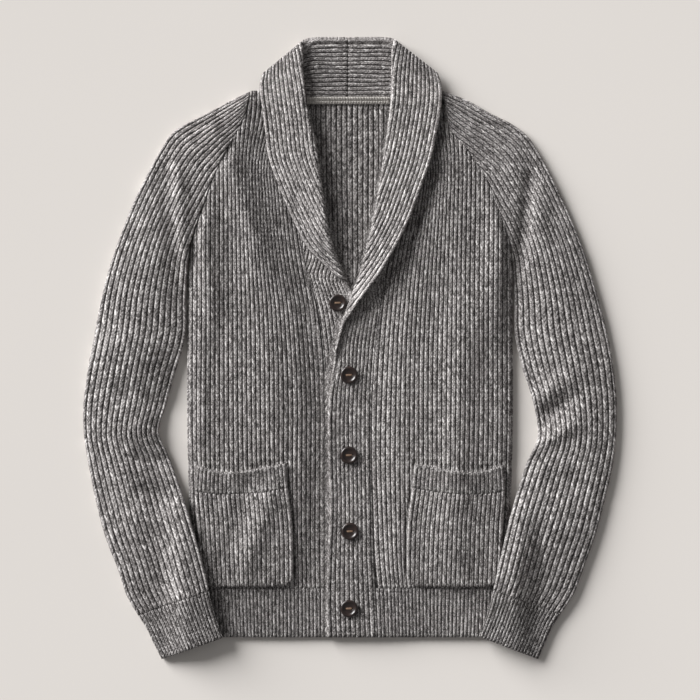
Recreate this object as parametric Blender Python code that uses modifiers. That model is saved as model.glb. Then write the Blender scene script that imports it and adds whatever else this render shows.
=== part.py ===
"""Shawl collar cardigan in chunky rib knit, lying flat on its back.

Frame: metres, +Z up. The garment lies on the plane Z = 0, with +X to the wearer's left and +Y towards the collar.
The origin is below the middle of the garment's box. Sizes and tables are in millimetres, and a mesh turns them to
metres. "Level" is the height of a piece's underside, and "half" is a distance from the centre front, the same on
both sides. Every knitted piece is a wall with a plain inside, and its ribs are raised in the outer points.
"""

import math
from typing import NamedTuple

import bpy
import numpy as np

MM = 0.001
SEAM = 0.4  # between two pieces at a seam
CLEAR = 0.5  # between a piece and one that lies on it


class Knit(NamedTuple):
    wall: float
    relief: float  # how far a rib stands above the groove beside it
    pitch: float  # from rib to rib


BODY_KNIT = Knit(wall=3.2, relief=1.6, pitch=6.2)
BACK_KNIT = Knit(wall=3.2, relief=1.6, pitch=7.0)
SLEEVE_KNIT = Knit(wall=3.2, relief=1.6, pitch=6.8)
WELT_KNIT = Knit(wall=2.9, relief=1.2, pitch=5.0)
BAND_KNIT = Knit(wall=3.2, relief=1.3, pitch=4.7)
STAND_KNIT = Knit(wall=3.2, relief=1.2, pitch=6.2)
POCKET_KNIT = Knit(wall=2.6, relief=1.2, pitch=6.1)
POCKET_BAND_KNIT = Knit(wall=3.0, relief=1.0, pitch=5.6)

# Heights along Y and levels along Z
SHOULDER_Y = 347.0
NECK_SEAM_Y = 329.4
ARMPIT_Y = 98.0
WELT_Y = -324.0
HEM_Y = -390.0
COLLAR_TOP_Y = 419.6
BODY_LEVEL = 5.4  # of the fronts over the back
WELT_LEVEL = 4.6
UNDER_LEVEL = 3.6  # of the button band over the back
OVER_LEVEL = 7.3  # of the buttonhole band over the button band
FOLD_HEIGHT = 9.5  # of the lapel's two layers, groove to underside
LEVEL_RUN = 60.0  # over which a front rises from its band to BODY_LEVEL


class SideRow(NamedTuple):
    """Half width of the body at a height."""

    y: float
    half: float


SIDE = [
    SideRow(y=HEM_Y, half=206),
    SideRow(y=WELT_Y, half=210),
    SideRow(y=-205, half=217),
    SideRow(y=-138, half=219),
    SideRow(y=ARMPIT_Y, half=219),
]


class SeamRow(NamedTuple):
    """Half width of a seam at a height, on each side."""

    y: float
    right: float
    left: float


RAGLAN = [
    SeamRow(y=ARMPIT_Y, right=219, left=220),
    SeamRow(y=129, right=216.5, left=218.5),
    SeamRow(y=159, right=209, left=211),
    SeamRow(y=193, right=197, left=197),
    SeamRow(y=232, right=183, left=181),
    SeamRow(y=267, right=166, left=156),
    SeamRow(y=292, right=151, left=136),
    SeamRow(y=322, right=139, left=127),
    SeamRow(y=SHOULDER_Y, right=134, left=124),
]
FRONT_TOP_RUN = -60.0  # the band seam's half width here holds for the columns above
STRAP_HALF = 114.0  # a front reaches up between neckline and raglan seam from here
STRAP_FOOT = 320.0
STRAP_Y = 355.0
EDGE_GAP = 1.5  # between a front's straight edges and the curved seams beside it


class SleeveRow(NamedTuple):
    """One section across a sleeve: its fold, its inner side, and how many ribs show between them."""

    fold_x: float
    fold_y: float
    inner_x: float
    inner_y: float
    ribs: float
    lift: float  # how high the inner side lies on the body
    curl: float  # 0 where the two layers end at the raglan seams, 1 where they close at the underarm


# Above the armpit inner_x is the raglan seam's half width, so it is worked out from inner_y
SLEEVE_RIGHT = [
    SleeveRow(-134.5, 346, None, 324, 7.3, 0, 0),
    SleeveRow(-165, 331, None, 299, 9.2, 0, 0),
    SleeveRow(-193, 316, None, 276, 10.8, 0, 0),
    SleeveRow(-219, 303, None, 253, 11.9, 0, 0),
    SleeveRow(-238, 291, None, 230, 12.9, 0, 0),
    SleeveRow(-255, 267, None, 201, 13.7, 0, 0),
    SleeveRow(-271, 238, None, 173, 14.3, 0, 0.05),
    SleeveRow(-288, 204, None, 148, 14.8, 0, 0.15),
    SleeveRow(-302, 171, None, 124, 15.4, 0, 0.45),
    SleeveRow(-317, 131, None, 102, 16.0, 0, 1),
    SleeveRow(-332, 80, -221.5, 66, 16.0, 0, 1),
    SleeveRow(-343.6, 23, -221.5, 18, 16.0, 0, 1),
    SleeveRow(-355, -39, -235, -32, 16.0, 0, 1),
    SleeveRow(-359.8, -84, -247, -74, 16.0, 0, 1),
    SleeveRow(-357.8, -124, -257.5, -114, 16.0, 0, 1),
    SleeveRow(-352, -159, -246, -142, 16.0, 0, 1),
    SleeveRow(-343, -205, -230, -184, 16.0, 3, 1),
    SleeveRow(-329.4, -256, -216, -226, 16.0, 11.5, 1),
    SleeveRow(-313, -298, -205, -264, 16.0, 15, 1),
    SleeveRow(-299.5, -337, -195.5, -302, 16.0, 15.6, 1),
    SleeveRow(-286, -360, -190.2, -326, 16.0, 15.6, 1),
]
SLEEVE_LEFT = [
    SleeveRow(124.5, 347, None, 324, 7.3, 0, 0),
    SleeveRow(156, 335, None, 300, 9.2, 0, 0),
    SleeveRow(190, 316, None, 273, 10.8, 0, 0),
    SleeveRow(218, 302, None, 250, 11.9, 0, 0),
    SleeveRow(238, 287, None, 227, 12.9, 0, 0),
    SleeveRow(253, 266, None, 200, 13.7, 0, 0),
    SleeveRow(268, 239, None, 173, 14.3, 0, 0.05),
    SleeveRow(282, 210, None, 148, 14.8, 0, 0.15),
    SleeveRow(298, 175, None, 124, 15.4, 0, 0.45),
    SleeveRow(314.5, 134, None, 102, 16.0, 0, 1),
    SleeveRow(332, 78, 222.5, 66, 16.0, 0, 1),
    SleeveRow(346, 25, 222.5, 20, 16.0, 0, 1),
    SleeveRow(355.7, -26, 232, -26, 16.0, 0, 1),
    SleeveRow(359.8, -77, 246, -70, 16.0, 0, 1),
    SleeveRow(357.8, -131, 252.5, -121, 16.0, 0, 1),
    SleeveRow(352.4, -169, 237.6, -157, 16.0, 0, 1),
    SleeveRow(344.3, -203, 227, -190, 16.0, 3, 1),
    SleeveRow(332.8, -247, 214.5, -231, 16.0, 11.5, 1),
    SleeveRow(317.3, -291, 206, -266, 16.0, 15, 1),
    SleeveRow(299.5, -336, 197.5, -304, 16.0, 15.6, 1),
    SleeveRow(284, -359, 193, -325, 16.0, 15.6, 1),
]
CUFF_RIGHT = [
    SleeveRow(-285.6, -360.6, -190, -326.6, 21.0, 15.4, 1),
    SleeveRow(-274, -379, -185.8, -345.6, 21.0, 13.3, 1),
    SleeveRow(-265.5, -397, -180, -365.3, 21.0, 11.4, 1),
    SleeveRow(-254, -419.6, -171.5, -390, 21.0, 10.2, 1),
]
CUFF_LEFT = [
    SleeveRow(283.6, -359.6, 192.8, -325.6, 21.0, 15.4, 1),
    SleeveRow(272.5, -377, 188.8, -344, 21.0, 13.3, 1),
    SleeveRow(264.5, -395, 182.8, -364, 21.0, 11.4, 1),
    SleeveRow(254, -419.6, 173.5, -388, 21.0, 10.2, 1),
]
LIFT_RUN = (48.0, 8.0)  # distances from the body's side between which a sleeve climbs onto it
SLEEVE_RADIUS = 4.3  # of its folds, so half its thickness without ribs
SLEEVE_LOFT = 1.3  # how much fuller its middle is
SLEEVE_ROWS = 14
CUFF_ROWS = 3


class Crease(NamedTuple):
    """A soft trough in a sleeve's upper layer, from one end to the other."""

    x0: float
    y0: float
    x1: float
    y1: float
    width: float
    depth: float


CREASES_RIGHT = [
    Crease(-236, 262, -224, 100, width=17, depth=1.9),
    Crease(-262, -113, -318, -98, width=15, depth=1.6),
    Crease(-255, -150, -312, -188, width=17, depth=1.2),
]
CREASES_LEFT = [
    Crease(232, 215, 219, 92, width=15, depth=2.0),
    Crease(256, -120, 318, -104, width=15, depth=1.6),
    Crease(250, -152, 312, -186, width=17, depth=1.2),
]


class BandRow(NamedTuple):
    """One section across a front band and its half of the collar.

    It runs from the seam to the roll and, once the band is turned over there, back to the free edge.
    """

    seam_x: float
    seam_y: float
    roll_x: float
    roll_y: float
    edge_x: float
    edge_y: float
    turn: float  # degrees turned over at the roll
    seam_level: float
    roll_level: float
    edge_level: float  # underside of the turned part at the free edge


BAND_LEFT = [
    BandRow(37.5, -390, -31, -390, -31, -390, 0, 7.3, 7.3, 0),
    BandRow(35.2, -340, -32.4, -340, -32.4, -340, 0, 7.3, 7.3, 0),
    BandRow(32.2, -290, -31, -290, -31, -290, 0, 7.3, 7.3, 0),
    BandRow(30.4, -216, -28, -216, -28, -216, 0, 7.3, 7.3, 0),
    BandRow(29.2, -138, -29.7, -138, -29.7, -138, 0, 7.3, 7.3, 0),
    BandRow(29.4, -84, -29.7, -84, -29.7, -84, 0, 7.3, 7.3, 0),
    BandRow(29.9, -54, -27.5, -54, -27.5, -54, 8, 7.3, 7.3, 12.6),
    BandRow(31.4, -27, -23, -25, -23, -25, 60, 7.3, 7.3, 12.6),
    BandRow(34, 4, -17.5, 7, -14, 7, 150, 7.3, 7.3, 12.6),
    BandRow(38, 37, -9, 40, -3.2, 40, 180, 7.3, 7.3, 12.6),
    BandRow(41.5, 58, -1.4, 62, 9.5, 58, 180, 7.2, 7.3, 12.6),
    BandRow(43, 69, 5.4, 81, 23.6, 77, 180, 6.7, 7.2, 12.6),
    BandRow(47.5, 97, 13.5, 103, 40, 100, 180, 5.6, 6.8, 12.4),
    BandRow(54.7, 130, 21.6, 132, 59.5, 132, 180, 4.8, 6.2, 11.8),
    BandRow(65.2, 170, 30.4, 170, 80, 173, 180, 4.2, 5.6, 11.0),
    BandRow(74.6, 210, 37.8, 211, 95.2, 213, 180, 3.8, 5.4, 10.2),
    BandRow(86, 253, 44.6, 254, 109.4, 254, 180, 3.6, 5.4, 10.0),
    BandRow(99.2, 293, 50, 292, 117.5, 291, 180, 3.6, 5.8, 10.2),
    BandRow(110, 322, 54, 325, 122.5, 320, 180, 5.8, 8.4, 11.2),
    BandRow(100, 336, 54.8, 340, 124, 334, 180, 9.8, 10.4, 11.2),
    BandRow(76, 354, 55.4, 357, 124.2, 346, 180, 10.6, 10.6, 11.2),
    BandRow(75, 378, 56, 385, 122.6, 358, 180, 10.6, 10.6, 11.0),
    BandRow(72, 395, 56.8, 404, 120.2, 365, 180, 10.5, 10.5, 10.6),
    BandRow(72, 405, 59, 416.5, 118.5, 370.5, 180, 9.4, 9.4, 9.6),
]
BAND_RIGHT = [
    BandRow(-34, -390, 27, -390, 27, -390, 0, 3.6, 3.6, 0),
    BandRow(-34, -300, 27, -300, 27, -300, 0, 3.6, 3.6, 0),
    BandRow(-34, -216, 27, -216, 27, -216, 0, 3.6, 3.6, 0),
    BandRow(-34, -138, 27, -138, 27, -138, 0, 3.6, 3.6, 0),
    BandRow(-34, -70, 27, -70, 27, -70, 0, 3.6, 3.6, 0),
    BandRow(-35, -36, 26, -34, 26, -34, 0, 3.6, 3.6, 0),
    BandRow(-39, 12, 21, 24, 21, 24, 0, 3.6, 3.6, 0),
    BandRow(-46, 61, 9, 63, 9, 63, 0, 3.6, 3.6, 0),
    BandRow(-51, 80, 2.5, 77, 2.5, 77, 0, 3.6, 3.6, 9.6),
    BandRow(-54, 91, -2, 88, -3, 87, 90, 3.6, 3.6, 9.6),
    BandRow(-57, 102, -8, 99, -16, 95, 180, 3.6, 4.0, 9.8),
    BandRow(-62, 122, -17, 123, -39.2, 116, 180, 3.6, 4.6, 9.8),
    BandRow(-67.2, 145, -25, 145, -56.7, 134, 180, 3.6, 5.2, 9.8),
    BandRow(-73, 179.5, -31.7, 180, -77, 172, 180, 3.6, 5.4, 9.9),
    BandRow(-79.2, 218, -37.8, 220, -96, 217, 180, 3.6, 5.4, 10.0),
    BandRow(-92.6, 259, -44, 261, -110.7, 259, 180, 3.6, 5.4, 10.0),
    BandRow(-105.6, 296, -50.6, 297, -115, 294, 180, 3.6, 5.8, 10.2),
    BandRow(-109.5, 322, -58.2, 326, -118.4, 321, 180, 5.8, 8.4, 11.2),
    BandRow(-100, 337, -60, 341, -120.4, 334, 180, 9.8, 10.4, 11.2),
    BandRow(-81, 357, -62, 362, -121.5, 345, 180, 10.6, 10.6, 11.2),
    BandRow(-80, 379, -63.5, 386, -121.5, 357, 180, 10.6, 10.6, 11.0),
    BandRow(-77, 394, -63.2, 402, -119.6, 364, 180, 10.5, 10.5, 10.6),
    BandRow(-75, 404, -62, 415.5, -118.5, 369.5, 180, 9.4, 9.4, 9.6),
]
BAND_RIBS = 13
BAND_ROWS = 23
FOLD_RADIUS = (FOLD_HEIGHT - BAND_KNIT.wall) / 2  # of the middle of the wall at the roll
UNDER_SPREAD = 46.0  # least width that the ribs under a lapel are spread over

# The collar behind the neck: a stand that shows its inner face and a fall behind it, on the surface
COLLAR_SEAM_X = -2.7  # centre back, where the two halves meet
COLLAR_RADIUS = 4.3
COLLAR_FALL_Y = 342.0
COLLAR_TOP = [  # half, y: level behind the neck, then sloping under the lapels
    (0.0, COLLAR_TOP_Y),
    (54.0, COLLAR_TOP_Y - 0.8),
    (60.5, 408.0),
    (76.0, 396.0),
    (94.0, 382.0),
    (112.0, 367.0),
]
STAND_RAMP = (343.0, 330.5)  # the stand comes down to the back between these
STAND_FOOT_LEVEL = 1.6
COLLAR_FALL_STEPS = 2
COLLAR_FOLD_STEPS = 4

# Back
BACK_INSET = 5.2  # from the body's side, where the front comes round it
BACK_GAP = 1.6  # from its raglan seam, where the sleeve's lower layer ends
BACK_ROWS = (0.0, 0.18, 0.36, 1.0)
BACK_RIB_HALF = 66.5  # the ribs are raised where the neck opening shows them
BACK_RIB_FADE = 7.0
BACK_PLAIN = (100.0, 113.0, 121.0, 133.0, 145.0, 160.0, 176.0, 190.0, 203.0, 212.0)

# Neck tape
TAPE_X = (-58.2, 53.2)
TAPE_Y = (338.5, 328.6)
TAPE_LEVEL = (9.6, 5.5)
TAPE_THICKNESS = 1.8
TAPE_BEVEL = 0.5

# Pockets
POCKET_INNER = [(-322.0, 75.8), (-296.0, 75.8), (-232.0, 77.5), (-188.0, 83.0), (-156.0, 86.5)]
POCKET_OUTER = [(-322.0, 202.5), (-296.0, 204.0), (-232.0, 207.0), (-188.0, 209.5), (-156.0, 206.5)]
MOUTH_TOP = [(86.0, -155.5), (117.0, -161.0), (152.0, -166.5), (176.0, -166.0), (207.0, -158.0)]
MOUTH_FOOT = [(83.0, -187.5), (111.0, -193.0), (144.0, -196.0), (172.0, -197.0), (210.0, -192.5)]
POCKET_FOOT_Y = -322.0
POCKET_CORNER = 10.0
POCKET_LEVEL = BODY_LEVEL + BODY_KNIT.wall + BODY_KNIT.relief + CLEAR
POCKET_ROWS = (0.0, 0.5, 0.93, 1.0)

# Buttons
BUTTON_RADIUS = 11.8
BUTTON_HEIGHT = 4.2
BUTTON_STEPS = 16
BUTTON_PROFILE = [  # share of the radius, share of the height, from the top centre to the underside
    (0.0, 0.62),
    (0.55, 0.66),
    (0.72, 0.96),
    (0.86, 1.0),
    (1.0, 0.72),
    (0.95, 0.28),
    (0.6, 0.0),
    (0.0, 0.0),
]


class Button(NamedTuple):
    x: float
    y: float
    level: float


UNDER_TOP = UNDER_LEVEL + BAND_KNIT.wall + BAND_KNIT.relief + 0.3
OVER_TOP = OVER_LEVEL + BAND_KNIT.wall + BAND_KNIT.relief + 0.3
BUTTONS = [
    Button(-16.4, 60.8, UNDER_TOP),
    Button(-1.3, -36.5, OVER_TOP),
    Button(-1.3, -144.5, OVER_TOP),
    Button(0.0, -247.0, OVER_TOP),
    Button(-1.3, -351.0, OVER_TOP),
]


class Finish(NamedTuple):
    colour: tuple
    roughness: float
    metallic: float


WOOL = Finish((0.26, 0.25, 0.25, 1), 0.95, 0)
WOOL_WELT = Finish((0.23, 0.22, 0.22, 1), 0.95, 0)
HORN = Finish((0.035, 0.022, 0.018, 1), 0.32, 0)


# Curves and small sums


def ease(share):
    """0 to 1 with level ends."""
    share = np.clip(share, 0.0, 1.0)
    return share * share * (3 - 2 * share)


def between(at, start, end):
    """How far `at` has come from start to end, eased, 0 before and 1 after."""
    return ease((at - start) / (end - start))


def curve(at, knots, values, steady=False):
    """A smooth curve through values at the rising knots. A steady one never passes beyond its values."""
    knots, values = np.asarray(knots, float), np.asarray(values, float)
    at = np.clip(at, knots[0], knots[-1])
    width = np.diff(knots)
    slope = np.diff(values) / width
    tangent = np.concatenate([slope[:1], np.zeros(len(slope) - 1), slope[-1:]])
    if steady:
        product = slope[:-1] * slope[1:]
        total = np.where(product > 0, slope[:-1] + slope[1:], 1)
        tangent[1:-1] = np.where(product > 0, 2 * product / total, 0)
    else:
        tangent[1:-1] = (slope[:-1] * width[1:] + slope[1:] * width[:-1]) / (width[:-1] + width[1:])
    piece = np.clip(np.searchsorted(knots, at, side="right") - 1, 0, len(width) - 1)
    share = (at - knots[piece]) / width[piece]
    rest = 1 - share
    return (
        values[piece] * (1 + 2 * share) * rest**2
        + values[piece + 1] * (3 - 2 * share) * share**2
        + width[piece] * share * rest * (tangent[piece] * rest - tangent[piece + 1] * share)
    )


def column(rows, name):
    return [getattr(row, name) for row in rows]


def side_name(side):
    return "left" if side > 0 else "right"


def half_at(rows, y, side=None):
    """Half width of a seam or of the body's side at a height."""
    return curve(y, column(rows, "y"), column(rows, "half" if side is None else side_name(side)))


def height_at(rows, half, side):
    """Height at which a seam reaches a half width."""
    y = np.linspace(rows[0].y, rows[-1].y, 400)
    reached = half_at(rows, y, side)
    order = np.argsort(reached)
    return np.interp(half, reached[order], y[order])


def zigzag(ribs):
    """1 on a rib and 0 in a groove, for places counted in ribs with a groove at each whole number."""
    return 1 - np.abs((np.asarray(ribs) % 1.0) * 2 - 1)


# Walls


def make_object(name, mesh, finish):
    material = bpy.data.materials.new(name)
    material.use_nodes = True
    shader = material.node_tree.nodes["Principled BSDF"]
    shader.inputs["Base Color"].default_value = finish.colour
    shader.inputs["Roughness"].default_value = finish.roughness
    shader.inputs["Metallic"].default_value = finish.metallic
    mesh.materials.append(material)
    piece = bpy.data.objects.new(name, mesh)
    bpy.data.collections[COLLECTION].objects.link(piece)
    return piece


def end_wall(outer, inner, kept):
    """Faces between a row of outer points and the row of inner points below some of them."""
    faces = []
    for pair, (first, last) in enumerate(zip(kept[:-1], kept[1:])):
        middle = (first + last + 1) // 2
        for at in range(first, last):
            below = inner[pair] if at < middle else inner[pair + 1]
            faces.append((outer[at], outer[at + 1], below))
        faces.append((outer[middle], inner[pair + 1], inner[pair]))
    return faces


def split(quad, points):
    """Two triangles that meet on the quad's shorter diagonal, so that a fold keeps its edge."""
    a, b, c, d = quad
    if np.linalg.norm(points[a] - points[c]) <= np.linalg.norm(points[b] - points[d]):
        return (a, b, c), (a, c, d)
    return (b, c, d), (b, d, a)


def make_wall(name, outer, inner, kept, finish):
    """A closed wall between outer[row, column] and inner[row, column], which keeps only some columns."""
    rows, columns = outer.shape[:2]
    inner = inner[:, kept]
    outer_at = np.arange(rows * columns).reshape(rows, columns)
    inner_at = np.arange(rows * len(kept)).reshape(rows, len(kept)) + rows * columns
    points = np.concatenate([outer.reshape(-1, 3), inner.reshape(-1, 3)]) * MM
    faces = []
    for row in range(rows - 1):
        for at, flip in ((outer_at, 1), (inner_at, -1)):
            for near, far in zip(range(at.shape[1] - 1), range(1, at.shape[1])):
                quad = (at[row, near], at[row, far], at[row + 1, far], at[row + 1, near])
                faces += [face[::flip] for face in split(quad, points)]
        faces.append((outer_at[row, 0], outer_at[row + 1, 0], inner_at[row + 1, 0], inner_at[row, 0]))
        faces.append((outer_at[row + 1, -1], outer_at[row, -1], inner_at[row, -1], inner_at[row + 1, -1]))
    for row, flip in ((0, -1), (rows - 1, 1)):
        faces += [face[::flip] for face in end_wall(outer_at[row], inner_at[row], kept)]
    mesh = bpy.data.meshes.new(name)
    mesh.from_pydata(points.tolist(), [], [[int(at) for at in face] for face in faces])
    mesh.update()
    if enclosed(mesh) < 0:
        mesh.flip_normals()
    return make_object(name, mesh, finish)


def enclosed(mesh):
    """Volume inside the faces, below zero where they face inward."""
    mesh.calc_loop_triangles()
    points = np.array([vertex.co for vertex in mesh.vertices])
    a, b, c = points[np.array([triangle.vertices for triangle in mesh.loop_triangles])].transpose(1, 0, 2)
    return float(np.einsum("ij,ij->i", a, np.cross(b, c)).sum() / 6)


def plan_points(x, y, z):
    return np.stack(np.broadcast_arrays(x, y, z), axis=-1)


# Fronts and their welts


def seam_level(y, side):
    """Level of a front's edge at its band."""
    if side < 0:
        return UNDER_LEVEL + 0 * y
    return OVER_LEVEL + (UNDER_LEVEL - OVER_LEVEL) * between(y, 40.0, 230.0)


def front_level(half, y, side):
    """Level of a front, with its welt."""
    edge = seam_level(y, side)
    middle = WELT_LEVEL + (BODY_LEVEL - WELT_LEVEL) * between(y, WELT_Y, WELT_Y + 45)
    return edge + (middle - edge) * between(half - front_edge(y, side), 0.0, LEVEL_RUN)


def raglan_height(half, side, gap=EDGE_GAP * 0.6):
    return height_at(RAGLAN, half + gap, side) - gap


def front_top(half, side):
    """Height of a front's upper end: the neckline, the shoulder strap or the raglan seam."""
    y = np.linspace(FRONT_TOP_RUN, STRAP_FOOT, 300)
    neck = np.interp(half - EDGE_GAP, front_edge(y, side), y) - SEAM
    neck = np.where(half > STRAP_HALF, STRAP_Y, neck)
    return np.minimum(neck, raglan_height(half, side))


def front_edge(y, side):
    """Half width of the seam at a front's edge, as the band has it."""
    x, line_y = band_seam(BAND_LEFT if side > 0 else BAND_RIGHT)
    return np.interp(y, line_y[line_y < NECK_SEAM_Y], np.abs(x[line_y < NECK_SEAM_Y]))


def front_wall(name, side, knit, shares, top, foot, finish):
    """A front or a welt: ribs run down it, and its side comes round to the surface it lies on.

    top and foot give heights for half widths, and shares the places of the rows between them.
    """
    inner_radius = BODY_LEVEL
    radius = inner_radius + knit.wall
    wrap = radius * math.pi / 2
    edge_y = min(FRONT_TOP_RUN, top) if np.isscalar(top) else FRONT_TOP_RUN
    full = wrap + float(half_at(SIDE, edge_y) - radius - front_edge(edge_y, side) - SEAM)
    ribs = round(full / knit.pitch)
    place = np.arange(2 * ribs + 1) / (2 * ribs)
    bent = np.clip(place * full / radius, 0, math.pi / 2)
    start = half_at(SIDE, edge_y) - radius + radius * np.cos(bent) - np.clip(place * full - wrap, 0, None)
    upper = front_top(start, side) if not np.isscalar(top) else np.full(len(place), top)
    y = upper + np.asarray(shares)[:, None] * (foot - upper)
    seam_y = np.minimum(y, edge_y)
    side_half = half_at(SIDE, y)
    along = place * (wrap + side_half - radius - front_edge(seam_y, side) - SEAM)
    turn = np.clip(along / radius, 0, math.pi / 2)
    flat = np.clip(along - wrap, 0, None)
    level = front_level(side_half - radius - flat, y, side)
    rise = level - inner_radius  # how the flat part lies beside the folded edge's own level
    relief = knit.relief * zigzag(place * ribs) * between(turn, 0.1, 0.6)

    def face(reach):
        half = side_half - radius + (inner_radius + reach) * np.cos(turn) - flat
        z = (inner_radius + reach) * np.sin(turn) + rise * ease(turn / (math.pi / 2))
        return plan_points(side * half, y, z)

    bend = int(np.searchsorted(place * full, wrap)) + 1
    neckline = int(np.searchsorted(-start, -STRAP_HALF))
    spaced = {*range(bend, neckline, 6), *range(neckline - 1, neckline + 5), *range(neckline + 5, 2 * ribs, 3)}
    if np.isscalar(top):
        spaced = set(range(bend, 2 * ribs, 6))
    kept = sorted({*range(bend + 1), 2 * ribs, *spaced})
    return make_wall(name, face(knit.wall + relief), face(0), kept, finish)


def make_fronts():
    body_rows = (0.0, 0.05, 0.13, 0.25, 0.4, 0.56, 0.72, 0.87, 1.0)
    for side in (-1, 1):
        name = side_name(side)
        front_wall(f"front_{name}", side, BODY_KNIT, body_rows, None, WELT_Y + SEAM, WOOL)
        front_wall(f"front_{name}_hem", side, WELT_KNIT, (0, 1), WELT_Y, HEM_Y, WOOL_WELT)


# Back and its welt


def back_top(half, side):
    neck = NECK_SEAM_Y - SEAM + 14.0 * between(half, 113.0, 124.0)
    return np.minimum(neck, raglan_height(half, side, BACK_GAP))


def roll_x(rows, y):
    return curve(y, column(rows, "roll_y"), column(rows, "roll_x"))


def make_back():
    """Flat underneath, with the ribs of its inner face raised where the neck opening shows them."""
    pitch = BACK_KNIT.pitch / 2
    ribbed = np.arange(-round(BACK_RIB_HALF / pitch), round(BACK_RIB_HALF / pitch) + 1) * pitch
    plain = np.array(BACK_PLAIN)
    x = np.concatenate([-plain[::-1], ribbed, plain])
    half = np.abs(x)
    upper = np.where(x < 0, back_top(half, -1), back_top(half, 1))
    y = upper + np.array(BACK_ROWS)[:, None] * (WELT_Y + SEAM - upper)
    narrow = np.minimum(half, half_at(SIDE, y) - BACK_INSET) / np.maximum(half, 1)
    narrow = np.where(half > 150, narrow, 1)
    inside = np.minimum(roll_x(BAND_LEFT, y) - x, x - roll_x(BAND_RIGHT, y))
    shown = between(inside, 3.0, 3.0 + BACK_RIB_FADE)
    relief = BACK_KNIT.relief * shown * zigzag(x / BACK_KNIT.pitch + 0.5)
    outer = plan_points(x * narrow, y, BACK_KNIT.wall + relief)
    inner = plan_points(x * narrow, y, 0)
    middle = range(len(plain), len(plain) + len(ribbed), 5)
    kept = sorted(set(range(len(plain))) | set(middle) | set(range(len(plain) + len(ribbed), len(x))))
    make_wall("back", outer, inner, kept, WOOL)


def make_back_hem():
    y = np.array([WELT_Y, HEM_Y + SEAM])[:, None]
    half = half_at(SIDE, y) - BACK_INSET
    x = half * np.array([-1.0, -0.33, 0.33, 1.0])
    make_wall("back_hem", plan_points(x, y, WELT_KNIT.wall), plan_points(x, y, 0), [0, 1, 2, 3], WOOL_WELT)


# Sleeves and cuffs


def crease_depth(x, y, creases):
    total = np.zeros_like(x)
    for crease in creases:
        run_x, run_y = crease.x1 - crease.x0, crease.y1 - crease.y0
        length = math.hypot(run_x, run_y)
        along = ((x - crease.x0) * run_x + (y - crease.y0) * run_y) / length**2
        across = ((x - crease.x0) * run_y - (y - crease.y0) * run_x) / length
        fade = between(along, -0.12, 0.15) * between(1 - along, -0.12, 0.4)
        total += crease.depth * fade * np.exp(-((across / crease.width) ** 2))
    return total


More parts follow.
